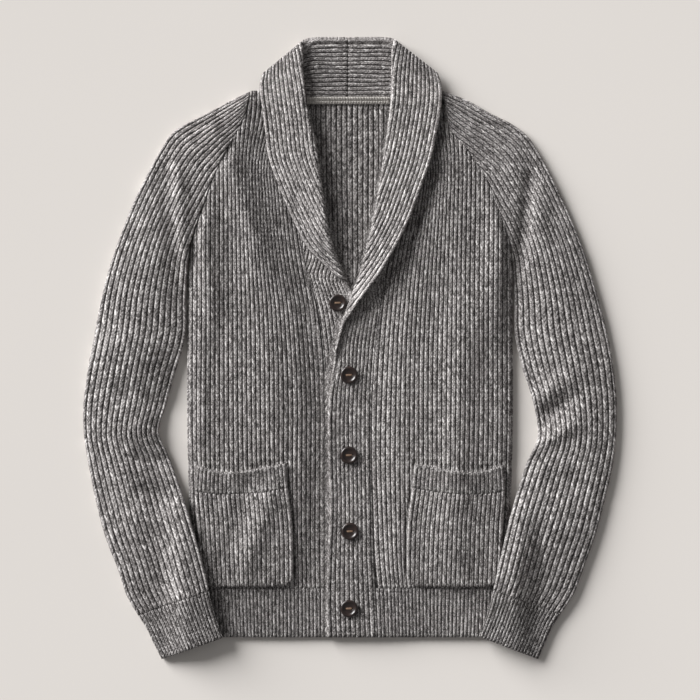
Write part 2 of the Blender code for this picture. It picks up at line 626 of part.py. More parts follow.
def tube_wall(name, side, rows, knit, row_count, radius, loft, creases, finish):
    """A sleeve or cuff: one wall from the upper seam round the fold to the lower seam.

    A column keeps its place counted in ribs from the fold, and starts where the raglan seam cuts it.
    """
    inner_y = np.array(column(rows, "inner_y"), float)
    seam = side * (half_at(RAGLAN, inner_y, side) + 2 * SEAM)
    inner_x = np.array([s if row.inner_x is None else row.inner_x for s, row in zip(seam, rows)], float)
    armpit = min((row.inner_y for row in rows if row.inner_x is None), default=math.inf)
    fold = np.array([column(rows, "fold_x"), column(rows, "fold_y")], float)
    middle = (fold + np.array([inner_x, inner_y])) / 2
    knots = np.concatenate([[0], np.cumsum(np.hypot(*np.diff(middle)))])
    ribs = np.array(column(rows, "ribs"))
    last = ribs[-1]

    upper = np.arange(0.0, last + 0.1, 0.5)
    lower = -np.array([0.5, 1.2, 3.8, ribs[0], *np.linspace(ribs[0], last - 1.5, 5)[1:], last - 0.5, last])
    lower = lower if ribs[0] < last else -np.array([0.7, 1.5, last / 2, last - 1.5, last - 0.7, last])
    place = np.concatenate([lower[::-1], upper])
    growing = 1 + int(np.argmax(ribs == last))
    start = np.interp(np.abs(place), ribs[:growing], knots[:growing])
    along = start + np.linspace(0, 1, row_count)[:, None] * (knots[-1] - start)

    def at(values, steady=True):
        return curve(along, knots, values, steady)

    fold_x, fold_y = at(fold[0], False), at(fold[1], False)
    seam_y = at(inner_y, False)
    on_seam = side * (half_at(RAGLAN, seam_y, side) + 2 * SEAM)
    seam_x = np.where(seam_y > armpit, on_seam, at(inner_x, False))
    across_x, across_y = seam_x - fold_x, seam_y - fold_y
    width = np.hypot(across_x, across_y)
    close = at(column(rows, "curl")) * math.pi / 2
    straight = width - radius - radius * np.sin(close)
    fold_run = radius * math.pi / 2
    run = (fold_run + straight + radius * close) * np.minimum(np.abs(place) / at(ribs), 1)
    layer = np.where(place >= 0, 1.0, -1.0)

    turn = np.clip(run / radius, 0, math.pi / 2)
    end = np.clip((run - fold_run - straight) / radius, 0, math.pi / 2)
    flat = np.clip(run - fold_run, 0, straight)
    share = (radius * (1 - np.cos(turn)) + flat) / width
    level_x = np.abs(fold_x + across_x * share) - half_at(SIDE, fold_y + across_y * share)
    lift = at(column(rows, "lift")) * between(level_x, *LIFT_RUN)
    full = loft * np.sin(math.pi * np.clip(share, 0, 1)) ** 0.7 * (layer > 0) * between(turn, 0, math.pi / 2)
    shown = np.where(layer > 0, 1, 0) * between(turn, 0.2, 1.2) * between(end, math.pi / 2, 0.6)
    relief = knit.relief * zigzag(place) * shown

    def face(reach):
        across = radius - reach * np.cos(turn) + flat + reach * np.sin(end)
        height = radius + layer * reach * np.sin(turn) * np.cos(end)
        x = fold_x + across_x / width * across
        y = fold_y + across_y / width * across
        sink = crease_depth(x, y, creases) * (layer > 0) * np.sin(turn) * np.cos(end)
        return plan_points(x, y, height + lift + full - sink)

    # the two ends of the wall stay a seam apart where they close under the arm
    outer, inner = face(radius + relief), face(radius - knit.wall)
    parted = (np.abs(place) == last) * at(column(rows, "curl"))
    for points in (outer, inner):
        points[..., 2] += layer * parted * SEAM / 2
    spaced = {3, 5, 7.5, 9.5, 11.5, 13} if ribs[0] < last else set(range(3, int(last), 4))
    kept = [i for i, p in enumerate(place) if p <= 1.5 or p >= last - 1.5 or p in spaced]
    return make_wall(name, outer, inner, kept, finish)


def make_sleeves():
    parts = ((-1, SLEEVE_RIGHT, CUFF_RIGHT, CREASES_RIGHT), (1, SLEEVE_LEFT, CUFF_LEFT, CREASES_LEFT))
    for side, sleeve, cuff, creases in parts:
        name = side_name(side)
        tube_wall(
            f"sleeve_{name}", side, sleeve, SLEEVE_KNIT, SLEEVE_ROWS, SLEEVE_RADIUS, SLEEVE_LOFT, creases, WOOL
        )
        tube_wall(f"cuff_{name}", side, cuff, WELT_KNIT, CUFF_ROWS, SLEEVE_RADIUS, 0.6, [], WOOL_WELT)


# Front bands with the front of the collar


def band_knots(rows):
    """Distances of a band's rows along it, and of the sections that its wall is made from."""
    x = (np.array(column(rows, "seam_x")) + column(rows, "roll_x")) / 2
    y = (np.array(column(rows, "seam_y")) + column(rows, "roll_y")) / 2
    knots = np.concatenate([[0], np.cumsum(np.hypot(np.diff(x), np.diff(y)))])
    sections = np.interp(np.linspace(0, len(rows) - 1, BAND_ROWS), np.arange(len(rows)), knots)
    return knots, sections


def band_seam(rows):
    """The seam between a band and its front, a point for each section."""
    knots, sections = band_knots(rows)
    return [curve(sections, knots, column(rows, f"seam_{axis}")) for axis in "xy"]


def spread_columns(place, fall, bend, flat):
    """Distances of the columns from the free edge, with one of them on the roll in each section."""
    share = (fall + bend) / (fall + bend + np.maximum(flat, UNDER_SPREAD))
    over = place / np.maximum(share, 1e-6) * (fall + bend)
    under = fall + bend + (place - share) / (1 - share) * flat
    run = np.where(place < share, over, under)
    roll = np.where(bend > FOLD_RADIUS * 2, fall + FOLD_RADIUS * math.pi / 2, -100)
    nearest = np.argmin(np.abs(run - roll), axis=1)[:, None]
    step = np.arange(len(place)) - nearest
    miss = roll - np.take_along_axis(run, nearest, axis=1)
    pull = np.clip(1 - np.abs(step) / 2, 0, 1) * np.where(np.abs(miss) < 4, miss, 0)
    return np.where((step == 0) | ((place > 0) & (place < 1)), run + pull, run)


def band_wall(name, rows, covered, finish):
    """A band from hem to shoulder: flat where it buttons, and turned over at the roll above."""
    ends = {}
    for end in ("seam", "roll", "edge"):
        ends[end] = np.array([column(rows, f"{end}_x"), column(rows, f"{end}_y")], float)
    knots, sections = band_knots(rows)
    along = sections[:, None]
    place = np.arange(2 * BAND_RIBS + 1) / (2 * BAND_RIBS)

    def at(values, steady=False):
        return curve(along, knots, values, steady)

    seam, roll, edge = ((at(ends[end][0]), at(ends[end][1])) for end in ("seam", "roll", "edge"))
    flat_x, flat_y = seam[0] - roll[0], seam[1] - roll[1]
    flat_width = np.hypot(flat_x, flat_y)
    fall_x, fall_y = edge[0] - roll[0], edge[1] - roll[1]
    fall_width = np.hypot(fall_x, fall_y)
    turned = np.radians(np.clip(at(column(rows, "turn"), True), 0, 180))
    outer_radius = FOLD_RADIUS + BAND_KNIT.wall / 2
    fall = np.clip(fall_width - outer_radius, 0.01, None)
    fall = np.where(turned > 0.02, fall, 0.0)
    side_way = np.where(fall_width > 1.0, 1.0, 0.0)
    fall_x = np.where(side_way > 0, fall_x / np.maximum(fall_width, 1e-6), flat_x / flat_width)
    fall_y = np.where(side_way > 0, fall_y / np.maximum(fall_width, 1e-6), flat_y / flat_width)
    flat_x, flat_y = flat_x / flat_width, flat_y / flat_width
    reach = outer_radius * np.sin(np.minimum(turned, math.pi / 2))
    flat = flat_width - reach
    bend = FOLD_RADIUS * turned
    run = spread_columns(place, fall, bend, flat)
    on_fall = np.clip(fall - run, 0, None)
    angle = np.clip((fall + bend - run) / FOLD_RADIUS, 0, turned)
    on_flat = np.clip(run - fall - bend, 0, None)

    roll_level, seam_at = at(column(rows, "roll_level"), True), at(column(rows, "seam_level"), True)
    edge_level = at(column(rows, "edge_level"), True)
    base = roll_level + (seam_at - roll_level) * ease(on_flat / flat)
    droop = (roll_level + FOLD_HEIGHT - BAND_KNIT.wall - edge_level) * between(turned, 2.4, 3.1)
    droop = droop * np.where(fall > 1, on_fall / np.maximum(fall, 1), 0)
    quarter = np.minimum(angle, math.pi / 2)
    over = np.clip(angle - math.pi / 2, 0, None)

    open_flat = 1 - between(fall - on_flat, -6.0, -2.0)
    open_flat = np.where(turned < 0.3, 1.0, open_flat)
    ribs = zigzag(place * BAND_RIBS)

    def face(off):
        """Points at a distance from the middle of the wall, towards the inside of the fold."""
        r = FOLD_RADIUS - off
        out = reach - r * np.sin(quarter)
        x = roll[0] + flat_x * (out + on_flat)
        y = roll[1] + flat_y * (out + on_flat)
        back = reach - r * np.cos(over)
        x = np.where(angle > math.pi / 2, roll[0] + fall_x * (back + on_fall), x)
        y = np.where(angle > math.pi / 2, roll[1] + fall_y * (back + on_fall), y)
        z = base + BAND_KNIT.wall / 2 + FOLD_RADIUS - r * np.cos(angle) - droop
        return plan_points(x, y, z)

    half_wall = BAND_KNIT.wall / 2
    plain = face(half_wall)
    covers = covered(plain[..., 0], plain[..., 1])
    shown_flat = open_flat * covers * (on_flat > 0.5)
    shown_fall = between(angle, 1.3, 2.2)
    upper = face(half_wall + BAND_KNIT.relief * ribs * shown_flat)
    lower = face(-half_wall - BAND_KNIT.relief * ribs * shown_fall)
    return make_wall(name, upper, lower, list(range(len(place))), finish)


def make_bands():
    band_wall("band_left", BAND_LEFT, lambda x, y: 1.0 + 0 * x, WOOL_WELT)
    band_wall("band_right", BAND_RIGHT, lambda x, y: between(roll_x(BAND_LEFT, y) - x, 6.5, 10.0), WOOL_WELT)


# Collar behind the neck


def collar_wall(name, side, finish):
    """Half of the collar behind the neck: the fall lies on the surface and the stand on the fall."""
    seam_half = abs(COLLAR_SEAM_X) * (1 if side < 0 else -1) + SEAM
    half = np.array([seam_half] + [row[0] for row in COLLAR_TOP[1:]])[:, None]
    top = np.array([row[1] for row in COLLAR_TOP])[:, None]
    radius = COLLAR_RADIUS
    stand = top - radius - (NECK_SEAM_Y + SEAM)
    fall = np.clip(top - radius - COLLAR_FALL_Y, 8.0, None)
    stand_steps = 2 * round((COLLAR_TOP_Y - NECK_SEAM_Y) / STAND_KNIT.pitch)
    share_fall = np.linspace(1, 0, COLLAR_FALL_STEPS + 1)[:-1]
    share_turn = np.linspace(0, 1, COLLAR_FOLD_STEPS + 1)[:-1]
    share_stand = np.linspace(0, 1, stand_steps + 1)
    zeros = np.zeros
    on_fall = fall * np.concatenate([share_fall, zeros(len(share_turn) + len(share_stand))])
    turn = math.pi * np.concatenate([zeros(len(share_fall)), share_turn, np.ones(len(share_stand))])
    on_stand = stand * np.concatenate([zeros(len(share_fall) + len(share_turn)), share_stand])
    ribs = np.concatenate([zeros(len(share_fall) + len(share_turn)), zigzag(share_stand * stand_steps / 2)])

    def face(reach):
        y = top - radius + reach * np.sin(turn) - on_fall - on_stand
        z = radius - reach * np.cos(turn)
        foot = between(y, *STAND_RAMP) * (on_stand > 0)
        z = z - foot * (radius * 2 - STAND_KNIT.wall - STAND_FOOT_LEVEL)
        return plan_points(side * half, y, z)

    fade = 1 - between(on_stand / stand, 0.82, 0.9)
    outer = face(radius + STAND_KNIT.relief * ribs * fade)
    inner = face(radius - STAND_KNIT.wall)
    folded = len(share_fall) + len(share_turn)
    count = outer.shape[1]
    kept = sorted({*range(folded + 1), *range(folded, count - 6, 5), *range(count - 6, count)})
    return make_wall(name, outer, inner, kept, finish)


def make_collar_back():
    for side in (-1, 1):
        collar_wall(f"collar_back_{side_name(side)}", side, WOOL_WELT)


def make_neck_tape():
    """A narrow strip over the neck seam, an open surface given its thickness."""
    tilt = math.atan2(TAPE_LEVEL[0] - TAPE_LEVEL[1], TAPE_Y[0] - TAPE_Y[1])
    length = math.hypot(TAPE_LEVEL[0] - TAPE_LEVEL[1], TAPE_Y[0] - TAPE_Y[1])
    bpy.ops.mesh.primitive_plane_add(size=1)
    piece = bpy.context.object
    piece.scale = ((TAPE_X[1] - TAPE_X[0]) * MM, length * MM, 1)
    bpy.ops.object.transform_apply(location=False, rotation=False, scale=True)
    piece.rotation_euler = (tilt, 0, 0)
    piece.location = (sum(TAPE_X) / 2 * MM, sum(TAPE_Y) / 2 * MM, sum(TAPE_LEVEL) / 2 * MM)
    mesh = piece.data
    for holder in list(piece.users_collection):
        holder.objects.unlink(piece)
    tape = make_object("neck_tape", mesh, WOOL_WELT)
    tape.matrix_world = piece.matrix_world
    tape.rotation_euler, tape.location = piece.rotation_euler, piece.location
    bpy.data.objects.remove(piece)
    solid = tape.modifiers.new("Solidify", "SOLIDIFY")
    solid.thickness = TAPE_THICKNESS * MM
    solid.offset = 1
    bevel = tape.modifiers.new("Bevel", "BEVEL")
    bevel.width = TAPE_BEVEL * MM
    bevel.segments = 1


# Pockets


def table_curve(at, table):
    rows = sorted(table)
    return curve(at, [row[0] for row in rows], [row[1] for row in rows])


def pocket_columns(knit, y):
    """Half widths of a pocket's columns at heights y, and their places counted in ribs."""
    width = table_curve(-232.0, POCKET_OUTER) - table_curve(-232.0, POCKET_INNER)
    ribs = round(float(width) / knit.pitch)
    place = np.arange(2 * ribs + 1) / (2 * ribs)
    inner, outer = table_curve(y, POCKET_INNER), table_curve(y, POCKET_OUTER)
    return inner + place * (outer - inner), place * ribs


def make_pocket(side):
    """A patch with rounded lower corners, on the front's ribs."""
    at_mouth, _ = pocket_columns(POCKET_KNIT, -194.0)
    upper = table_curve(at_mouth, MOUTH_FOOT) - SEAM
    at_foot, _ = pocket_columns(POCKET_KNIT, POCKET_FOOT_Y)
    from_side = np.minimum(at_foot - at_foot[0], at_foot[-1] - at_foot)
    bite = np.clip(POCKET_CORNER - from_side, 0, None)
    foot = POCKET_FOOT_Y + POCKET_CORNER - np.sqrt(POCKET_CORNER**2 - bite**2)
    y = upper + np.array(POCKET_ROWS)[:, None] * (foot - upper)
    half, count = pocket_columns(POCKET_KNIT, y)
    edge = np.minimum(count, count[-1] - count)
    relief = POCKET_KNIT.relief * zigzag(count) * (edge > 0)
    outer = plan_points(side * half, y, POCKET_LEVEL + POCKET_KNIT.wall + relief)
    inner = plan_points(side * half, y, POCKET_LEVEL)
    kept = sorted({0, 1, *range(2, len(count) - 2, 5), len(count) - 2, len(count) - 1})
    make_wall(f"pocket_{side_name(side)}", outer, inner, kept, WOOL)


def make_pocket_band(side):
    """The rib along a pocket's mouth, whose top sags a little."""
    flat, _ = pocket_columns(POCKET_BAND_KNIT, -188.0)
    top, foot = table_curve(flat, MOUTH_TOP), table_curve(flat, MOUTH_FOOT)
    y = top + np.array([0.0, 0.5, 1.0])[:, None] * (foot - top)
    half, count = pocket_columns(POCKET_BAND_KNIT, y)
    level = POCKET_LEVEL + 0 * y
    z = level + POCKET_BAND_KNIT.wall + POCKET_BAND_KNIT.relief * zigzag(count)
    kept = sorted({*range(0, len(count) - 1, 6), len(count) - 1})
    outer, inner = plan_points(side * half, y, z), plan_points(side * half, y, level)
    make_wall(f"pocket_band_{side_name(side)}", outer, inner, kept, WOOL_WELT)


def make_pockets():
    for side in (-1, 1):
        make_pocket(side)
        make_pocket_band(side)


# Buttons


def make_button(number, button):
    """A turned horn button with a raised rim and a dished middle."""
    mesh = bpy.data.meshes.new(f"button_{number}")
    profile = [(share * BUTTON_RADIUS * MM, 0, height * BUTTON_HEIGHT * MM) for share, height in BUTTON_PROFILE]
    mesh.from_pydata(profile, [(at, at + 1) for at in range(len(profile) - 1)], [])
    piece = make_object(f"button_{number}", mesh, HORN)
    piece.location = (button.x * MM, button.y * MM, button.level * MM)
    screw = piece.modifiers.new("Screw", "SCREW")
    screw.axis = "Z"
    screw.steps = screw.render_steps = BUTTON_STEPS
    screw.use_merge_vertices = True
    screw.merge_threshold = 0.00001
    screw.use_normal_calculate = True


def make_buttons():
    for number, button in enumerate(BUTTONS, start=1):
        make_button(number, button)


COLLECTION = "shawl_collar_cardigan"


def main():
    for old in list(bpy.data.objects):
        bpy.data.objects.remove(old)
    collection = bpy.data.collections.new(COLLECTION)
    bpy.context.scene.collection.children.link(collection)
    make_back()
    make_back_hem()
    make_fronts()
    make_sleeves()
    make_bands()
    make_collar_back()
    make_neck_tape()
    make_pockets()
    make_buttons()


main()
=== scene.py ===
"""Shawl collar cardigan in chunky marled rib knit, laid flat on its back: the dressed part.

Frame: metres, +Z up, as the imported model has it. The cardigan lies on the plane Z = 0, with +X to the
wearer's left and +Y towards the collar. Sizes below are in millimetres until a mesh turns them to metres.
"Level" is the height of a piece's underside, and "half" is a distance from the centre front, the same on both
sides.

Every knitted piece is a closed shell on its solid's form. Its places are counted in ribs across and in
stitches along, and both go with the mesh as an attribute, so that the yarn in the material follows the
stitches.
"""

import logging
import math
from collections.abc import Callable, Sequence
from dataclasses import dataclass
from enum import Enum
from typing import Any, NamedTuple

import bpy
import numpy as np
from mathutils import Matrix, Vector


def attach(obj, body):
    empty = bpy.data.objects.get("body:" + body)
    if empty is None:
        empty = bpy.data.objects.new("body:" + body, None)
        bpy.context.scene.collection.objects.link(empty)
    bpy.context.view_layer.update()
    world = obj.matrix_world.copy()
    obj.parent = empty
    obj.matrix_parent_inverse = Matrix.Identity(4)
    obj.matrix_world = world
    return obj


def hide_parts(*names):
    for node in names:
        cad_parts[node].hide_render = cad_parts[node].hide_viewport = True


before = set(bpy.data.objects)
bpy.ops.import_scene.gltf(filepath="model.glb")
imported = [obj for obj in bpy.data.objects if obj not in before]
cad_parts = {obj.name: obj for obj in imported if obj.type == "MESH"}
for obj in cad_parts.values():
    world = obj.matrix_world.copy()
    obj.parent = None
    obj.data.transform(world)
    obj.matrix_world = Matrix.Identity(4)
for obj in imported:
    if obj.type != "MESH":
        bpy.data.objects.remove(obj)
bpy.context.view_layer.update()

log = logging.getLogger("cardigan")

MM = 0.001
SEAM = 0.4  # gap between pieces that are sewn together
CLEAR = 0.5  # gap between pieces that lie on each other
ATTRIBUTE = "knit"
SLANT = 0.9  # how many stitches a V's leg rises from the middle of its rib to the groove

Mesh, Material, Object = bpy.types.Mesh, bpy.types.Material, bpy.types.Object
Node, Socket = bpy.types.Node, bpy.types.NodeSocket
Array = np.ndarray
Colour = tuple[float, float, float]
Run = tuple[float, float]  # from where something starts to where it ends or is complete
Table = tuple[tuple[float, float], ...]  # places and the values there
Stops = tuple[tuple[float, Colour], ...]  # a ramp's places and colours


# Knit


@dataclass(frozen=True)
class Knit:
    """How a piece is knitted, in millimetres."""

    wall: float
    relief: float  # how far a rib stands above the plain wall
    pitch: float  # from rib to rib
    stitch: float  # height of one stitch
    groove: float = 1.2  # how far a groove sinks into the wall
    pillow: float = 0.6  # how far the middle of a leg stands above its ends
    columns: int = 8  # mesh columns in a rib


BODY_KNIT = Knit(wall=3.2, relief=1.6, pitch=6.2, stitch=5.7, groove=1.4)
BACK_KNIT = Knit(wall=3.2, relief=1.6, pitch=7.0, stitch=5.8, groove=1.4)
SLEEVE_KNIT = Knit(wall=3.2, relief=1.6, pitch=6.8, stitch=6.0, groove=1.5, pillow=0.4)
WELT_KNIT = Knit(wall=2.9, relief=1.2, pitch=5.0, stitch=4.6, groove=1.2, pillow=0.6, columns=6)
BAND_KNIT = Knit(wall=3.2, relief=1.3, pitch=5.7, stitch=5.4, groove=1.2, pillow=0.7, columns=6)
STAND_KNIT = Knit(wall=3.2, relief=1.2, pitch=6.2, stitch=4.8, groove=1.1, pillow=0.4)
POCKET_KNIT = Knit(wall=2.6, relief=1.2, pitch=6.1, stitch=5.6, groove=1.2)
POCKET_BAND_KNIT = Knit(wall=3.0, relief=1.0, pitch=5.6, stitch=4.6, groove=0.9, pillow=0.5, columns=6)


# Heights along Y and levels along Z

SHOULDER_Y = 347.0
NECK_SEAM_Y = 329.4
ARMPIT_Y = 98.0
WELT_Y = -324.0
HEM_Y = -390.0
COLLAR_TOP_Y = 419.6
BODY_LEVEL = 5.4
WELT_LEVEL = 4.6
UNDER_LEVEL = 3.6  # of the button band
OVER_LEVEL = 7.3  # of the buttonhole band, which lies on it
FOLD_HEIGHT = 9.5  # of a lapel's two layers, at its roll
LEVEL_RUN = 60.0  # from a front's edge to where it has its own level


class SideRow(NamedTuple):
    """Half width of the body at a height."""

    y: float
    half: float


SIDE = [
    SideRow(y=HEM_Y, half=206),
    SideRow(y=WELT_Y, half=210),
    SideRow(y=-205, half=217),
    SideRow(y=-138, half=219),
    SideRow(y=ARMPIT_Y, half=219),
]


class SeamRow(NamedTuple):
    """Half width of a seam at a height, on each side."""

    y: float
    right: float
    left: float


RAGLAN = [
    SeamRow(y=ARMPIT_Y, right=219, left=220),
    SeamRow(y=129, right=216.5, left=218.5),
    SeamRow(y=159, right=209, left=211),
    SeamRow(y=193, right=197, left=197),
    SeamRow(y=232, right=183, left=181),
    SeamRow(y=267, right=166, left=156),
    SeamRow(y=292, right=151, left=136),
    SeamRow(y=322, right=139, left=127),
    SeamRow(y=SHOULDER_Y, right=134, left=124),
]
FRONT_TOP_RUN = -60.0  # height above which the neckline cuts ribs off
STRAP_HALF = 114.0  # half width from which a front reaches up as a shoulder strap
STRAP_FOOT = 320.0
STRAP_Y = 355.0
EDGE_GAP = 0.5


def table(kind: type, rows: Sequence[Sequence[float | None]]) -> list[Any]:
    """A table whose columns have the names of that kind of row."""
    return [kind(*row) for row in rows]


class SleeveRow(NamedTuple):
    """One section across a sleeve: its fold, its inner side, and how many ribs show between them."""

    fold_x: float
    fold_y: float
    inner_x: float | None  # None where the raglan seam gives it
    inner_y: float
    ribs: float
    lift: float  # how high the inner side lies on the body
    curl: float  # 0 where the two layers end at the raglan seams, 1 where they close at the underarm


SLEEVE_RIGHT = table(SleeveRow, (
    (-134.5, 346, None, 324, 7.3, 0, 0),
    (-165, 331, None, 299, 9.2, 0, 0),
    (-193, 316, None, 276, 10.8, 0, 0),
    (-219, 303, None, 253, 11.9, 0, 0),
    (-238, 291, None, 230, 12.9, 0, 0),
    (-255, 267, None, 201, 13.7, 0, 0),
    (-271, 238, None, 173, 14.3, 0, 0.05),
    (-288, 204, None, 148, 14.8, 0, 0.15),
    (-302, 171, None, 124, 15.4, 0, 0.45),
    (-317, 131, None, 102, 16.0, 0, 1),
    (-332, 80, -221.5, 66, 16.0, 0, 1),
    (-343.6, 23, -221.5, 18, 16.0, 0, 1),
    (-355, -39, -235, -32, 16.0, 0, 1),
    (-359.8, -84, -247, -74, 16.0, 0, 1),
    (-357.8, -124, -257.5, -114, 16.0, 0, 1),
    (-352, -159, -246, -142, 16.0, 0, 1),
    (-343, -205, -230, -184, 16.0, 3, 1),
    (-329.4, -256, -216, -226, 16.0, 11.5, 1),
    (-313, -298, -205, -264, 16.0, 15, 1),
    (-299.5, -337, -195.5, -302, 16.0, 15.6, 1),
    (-286, -360, -190.2, -326, 16.0, 15.6, 1),
))
SLEEVE_LEFT = table(SleeveRow, (
    (124.5, 347, None, 324, 7.3, 0, 0),
    (156, 335, None, 300, 9.2, 0, 0),
    (190, 316, None, 273, 10.8, 0, 0),
    (218, 302, None, 250, 11.9, 0, 0),
    (238, 287, None, 227, 12.9, 0, 0),
    (253, 266, None, 200, 13.7, 0, 0),
    (268, 239, None, 173, 14.3, 0, 0.05),
    (282, 210, None, 148, 14.8, 0, 0.15),
    (298, 175, None, 124, 15.4, 0, 0.45),
    (314.5, 134, None, 102, 16.0, 0, 1),
    (332, 78, 222.5, 66, 16.0, 0, 1),
    (346, 25, 222.5, 20, 16.0, 0, 1),
    (355.7, -26, 232, -26, 16.0, 0, 1),
    (359.8, -77, 246, -70, 16.0, 0, 1),
    (357.8, -131, 252.5, -121, 16.0, 0, 1),
    (352.4, -169, 237.6, -157, 16.0, 0, 1),
    (344.3, -203, 227, -190, 16.0, 3, 1),
    (332.8, -247, 214.5, -231, 16.0, 11.5, 1),
    (317.3, -291, 206, -266, 16.0, 15, 1),
    (299.5, -336, 197.5, -304, 16.0, 15.6, 1),
    (284, -359, 193, -325, 16.0, 15.6, 1),
))
CUFF_RIBS = 21.0
CUFF_RIGHT = [SLEEVE_RIGHT[-1]._replace(ribs=CUFF_RIBS)] + table(SleeveRow, (
    (-274, -379, -185.8, -345.6, CUFF_RIBS, 13.3, 1),
    (-265.5, -397, -180, -365.3, CUFF_RIBS, 11.4, 1),
    (-254, -419.6, -171.5, -390, CUFF_RIBS, 10.2, 1),
))
CUFF_LEFT = [SLEEVE_LEFT[-1]._replace(ribs=CUFF_RIBS)] + table(SleeveRow, (
    (272.5, -377, 188.8, -344, CUFF_RIBS, 13.3, 1),
    (264.5, -395, 182.8, -364, CUFF_RIBS, 11.4, 1),
    (254, -419.6, 173.5, -388, CUFF_RIBS, 10.2, 1),
))


class Crease(NamedTuple):
    """A soft trough (or a ridge, where its depth is below zero), from one end to the other."""

    x0: float
    y0: float
    x1: float
    y1: float
    width: float
    depth: float


CREASES_RIGHT = [
    Crease(-258, 276, -228, 84, width=12, depth=8.5),
    Crease(-236, 246, -217, 62, width=10, depth=-7.0),
    Crease(-200, 322, -158, 250, width=13, depth=-4.0),
    Crease(-334, 8, -246, -16, width=22, depth=-5.5),
    Crease(-318, -54, -240, -84, width=13, depth=5.5),
    Crease(-292, -100, -250, -124, width=10, depth=-5.0),
    Crease(-290, -144, -246, -158, width=9, depth=3.5),
    Crease(-290, -188, -236, -212, width=11, depth=5.0),
    Crease(-300, -224, -240, -242, width=12, depth=-4.0),
]
CREASES_LEFT = [
    Crease(243, 240, 222, 60, width=9, depth=7.5),
    Crease(264, 236, 246, 90, width=16, depth=-2.5),
    Crease(244, -72, 312, -30, width=14, depth=-4.5),
    Crease(240, -106, 308, -60, width=10, depth=7.5),
    Crease(248, -136, 312, -96, width=10, depth=-5.5),
    Crease(262, -172, 318, -196, width=13, depth=3.6),
]
FOLDS = [  # of the fronts, and of the pockets on them
    Crease(-204, 196, -182, 15, width=13, depth=-7.5),
    Crease(-180, 206, -146, 70, width=12, depth=3.0),
    Crease(-172, 276, -108, 90, width=14, depth=-8.0),
    Crease(-134, 276, -82, 108, width=13, depth=3.5),
    Crease(210, 204, 184, 0, width=23, depth=-9.5),
    Crease(150, 70, 140, -360, width=24, depth=-6.5),
    Crease(118, 246, 64, 88, width=14, depth=5.0),
    Crease(84, 130, 34, 14, width=15, depth=6.0),
    Crease(-134, -170, -172, -300, width=12, depth=3.0),
    Crease(-104, -185, -148, -320, width=14, depth=-5.5),
    Crease(-200, 30, -202, -170, width=12, depth=-3.0),
    Crease(-110, 20, -104, -150, width=18, depth=-3.0),
]


class BandRow(NamedTuple):
    """One section across a front band: its seam, its roll, and the free edge that is turned back over."""

    seam_x: float
    seam_y: float
    roll_x: float
    roll_y: float
    edge_x: float
    edge_y: float
    turn: float  # degrees turned over at the roll
    seam_level: float
    roll_level: float
    edge_level: float  # underside of the turned part at the free edge


BAND_LEFT = [
    BandRow(seam_x, y, roll_x, y, roll_x, y, 0, OVER_LEVEL, OVER_LEVEL, 0)
    for seam_x, y, roll_x in (
        (37.5, HEM_Y, -31), (35.2, -340, -32.4), (32.2, -290, -31),
        (30.4, -216, -28), (29.2, -138, -29.7), (29.4, -84, -29.7),
    )
] + table(BandRow, (
    (29.9, -54, -27.5, -54, -27.5, -54, 8, 7.3, 7.3, 12.6),
    (31.4, -27, -23, -25, -23, -25, 60, 7.3, 7.3, 12.6),
    (34, 4, -17.5, 7, -14, 7, 150, 7.3, 7.3, 12.6),
    (38, 37, -9, 40, -3.2, 40, 180, 7.3, 7.3, 12.6),
    (41.5, 58, -1.4, 62, 9.5, 58, 180, 7.2, 7.3, 12.6),
    (43, 69, 5.4, 81, 23.6, 77, 180, 6.7, 7.2, 12.6),
    (47.5, 97, 13.5, 103, 40, 100, 180, 5.6, 6.8, 12.4),
    (54.7, 130, 21.6, 132, 59.5, 132, 180, 4.8, 6.2, 11.8),
    (65.2, 170, 30.4, 170, 80, 173, 180, 4.2, 5.6, 11.0),
    (74.6, 210, 37.8, 211, 95.2, 213, 180, 3.8, 5.4, 10.2),
    (86, 253, 44.6, 254, 109.4, 254, 180, 3.6, 5.4, 10.0),
    (99.2, 293, 50, 292, 117.5, 291, 180, 3.6, 5.8, 10.2),
    (110, 322, 54, 325, 122.5, 320, 180, 5.8, 8.4, 11.2),
    (100, 336, 54.8, 340, 124, 334, 180, 9.8, 10.4, 11.2),
    (76, 354, 55.4, 357, 124.2, 346, 180, 10.6, 10.6, 11.2),
    (75, 378, 56, 385, 122.6, 358, 180, 10.6, 10.6, 11.0),
    (72, 395, 56.8, 404, 120.2, 365, 180, 10.5, 10.5, 10.6),
    (72, 405, 59, 416.5, 118.5, 370.5, 180, 9.4, 9.4, 9.6),
))
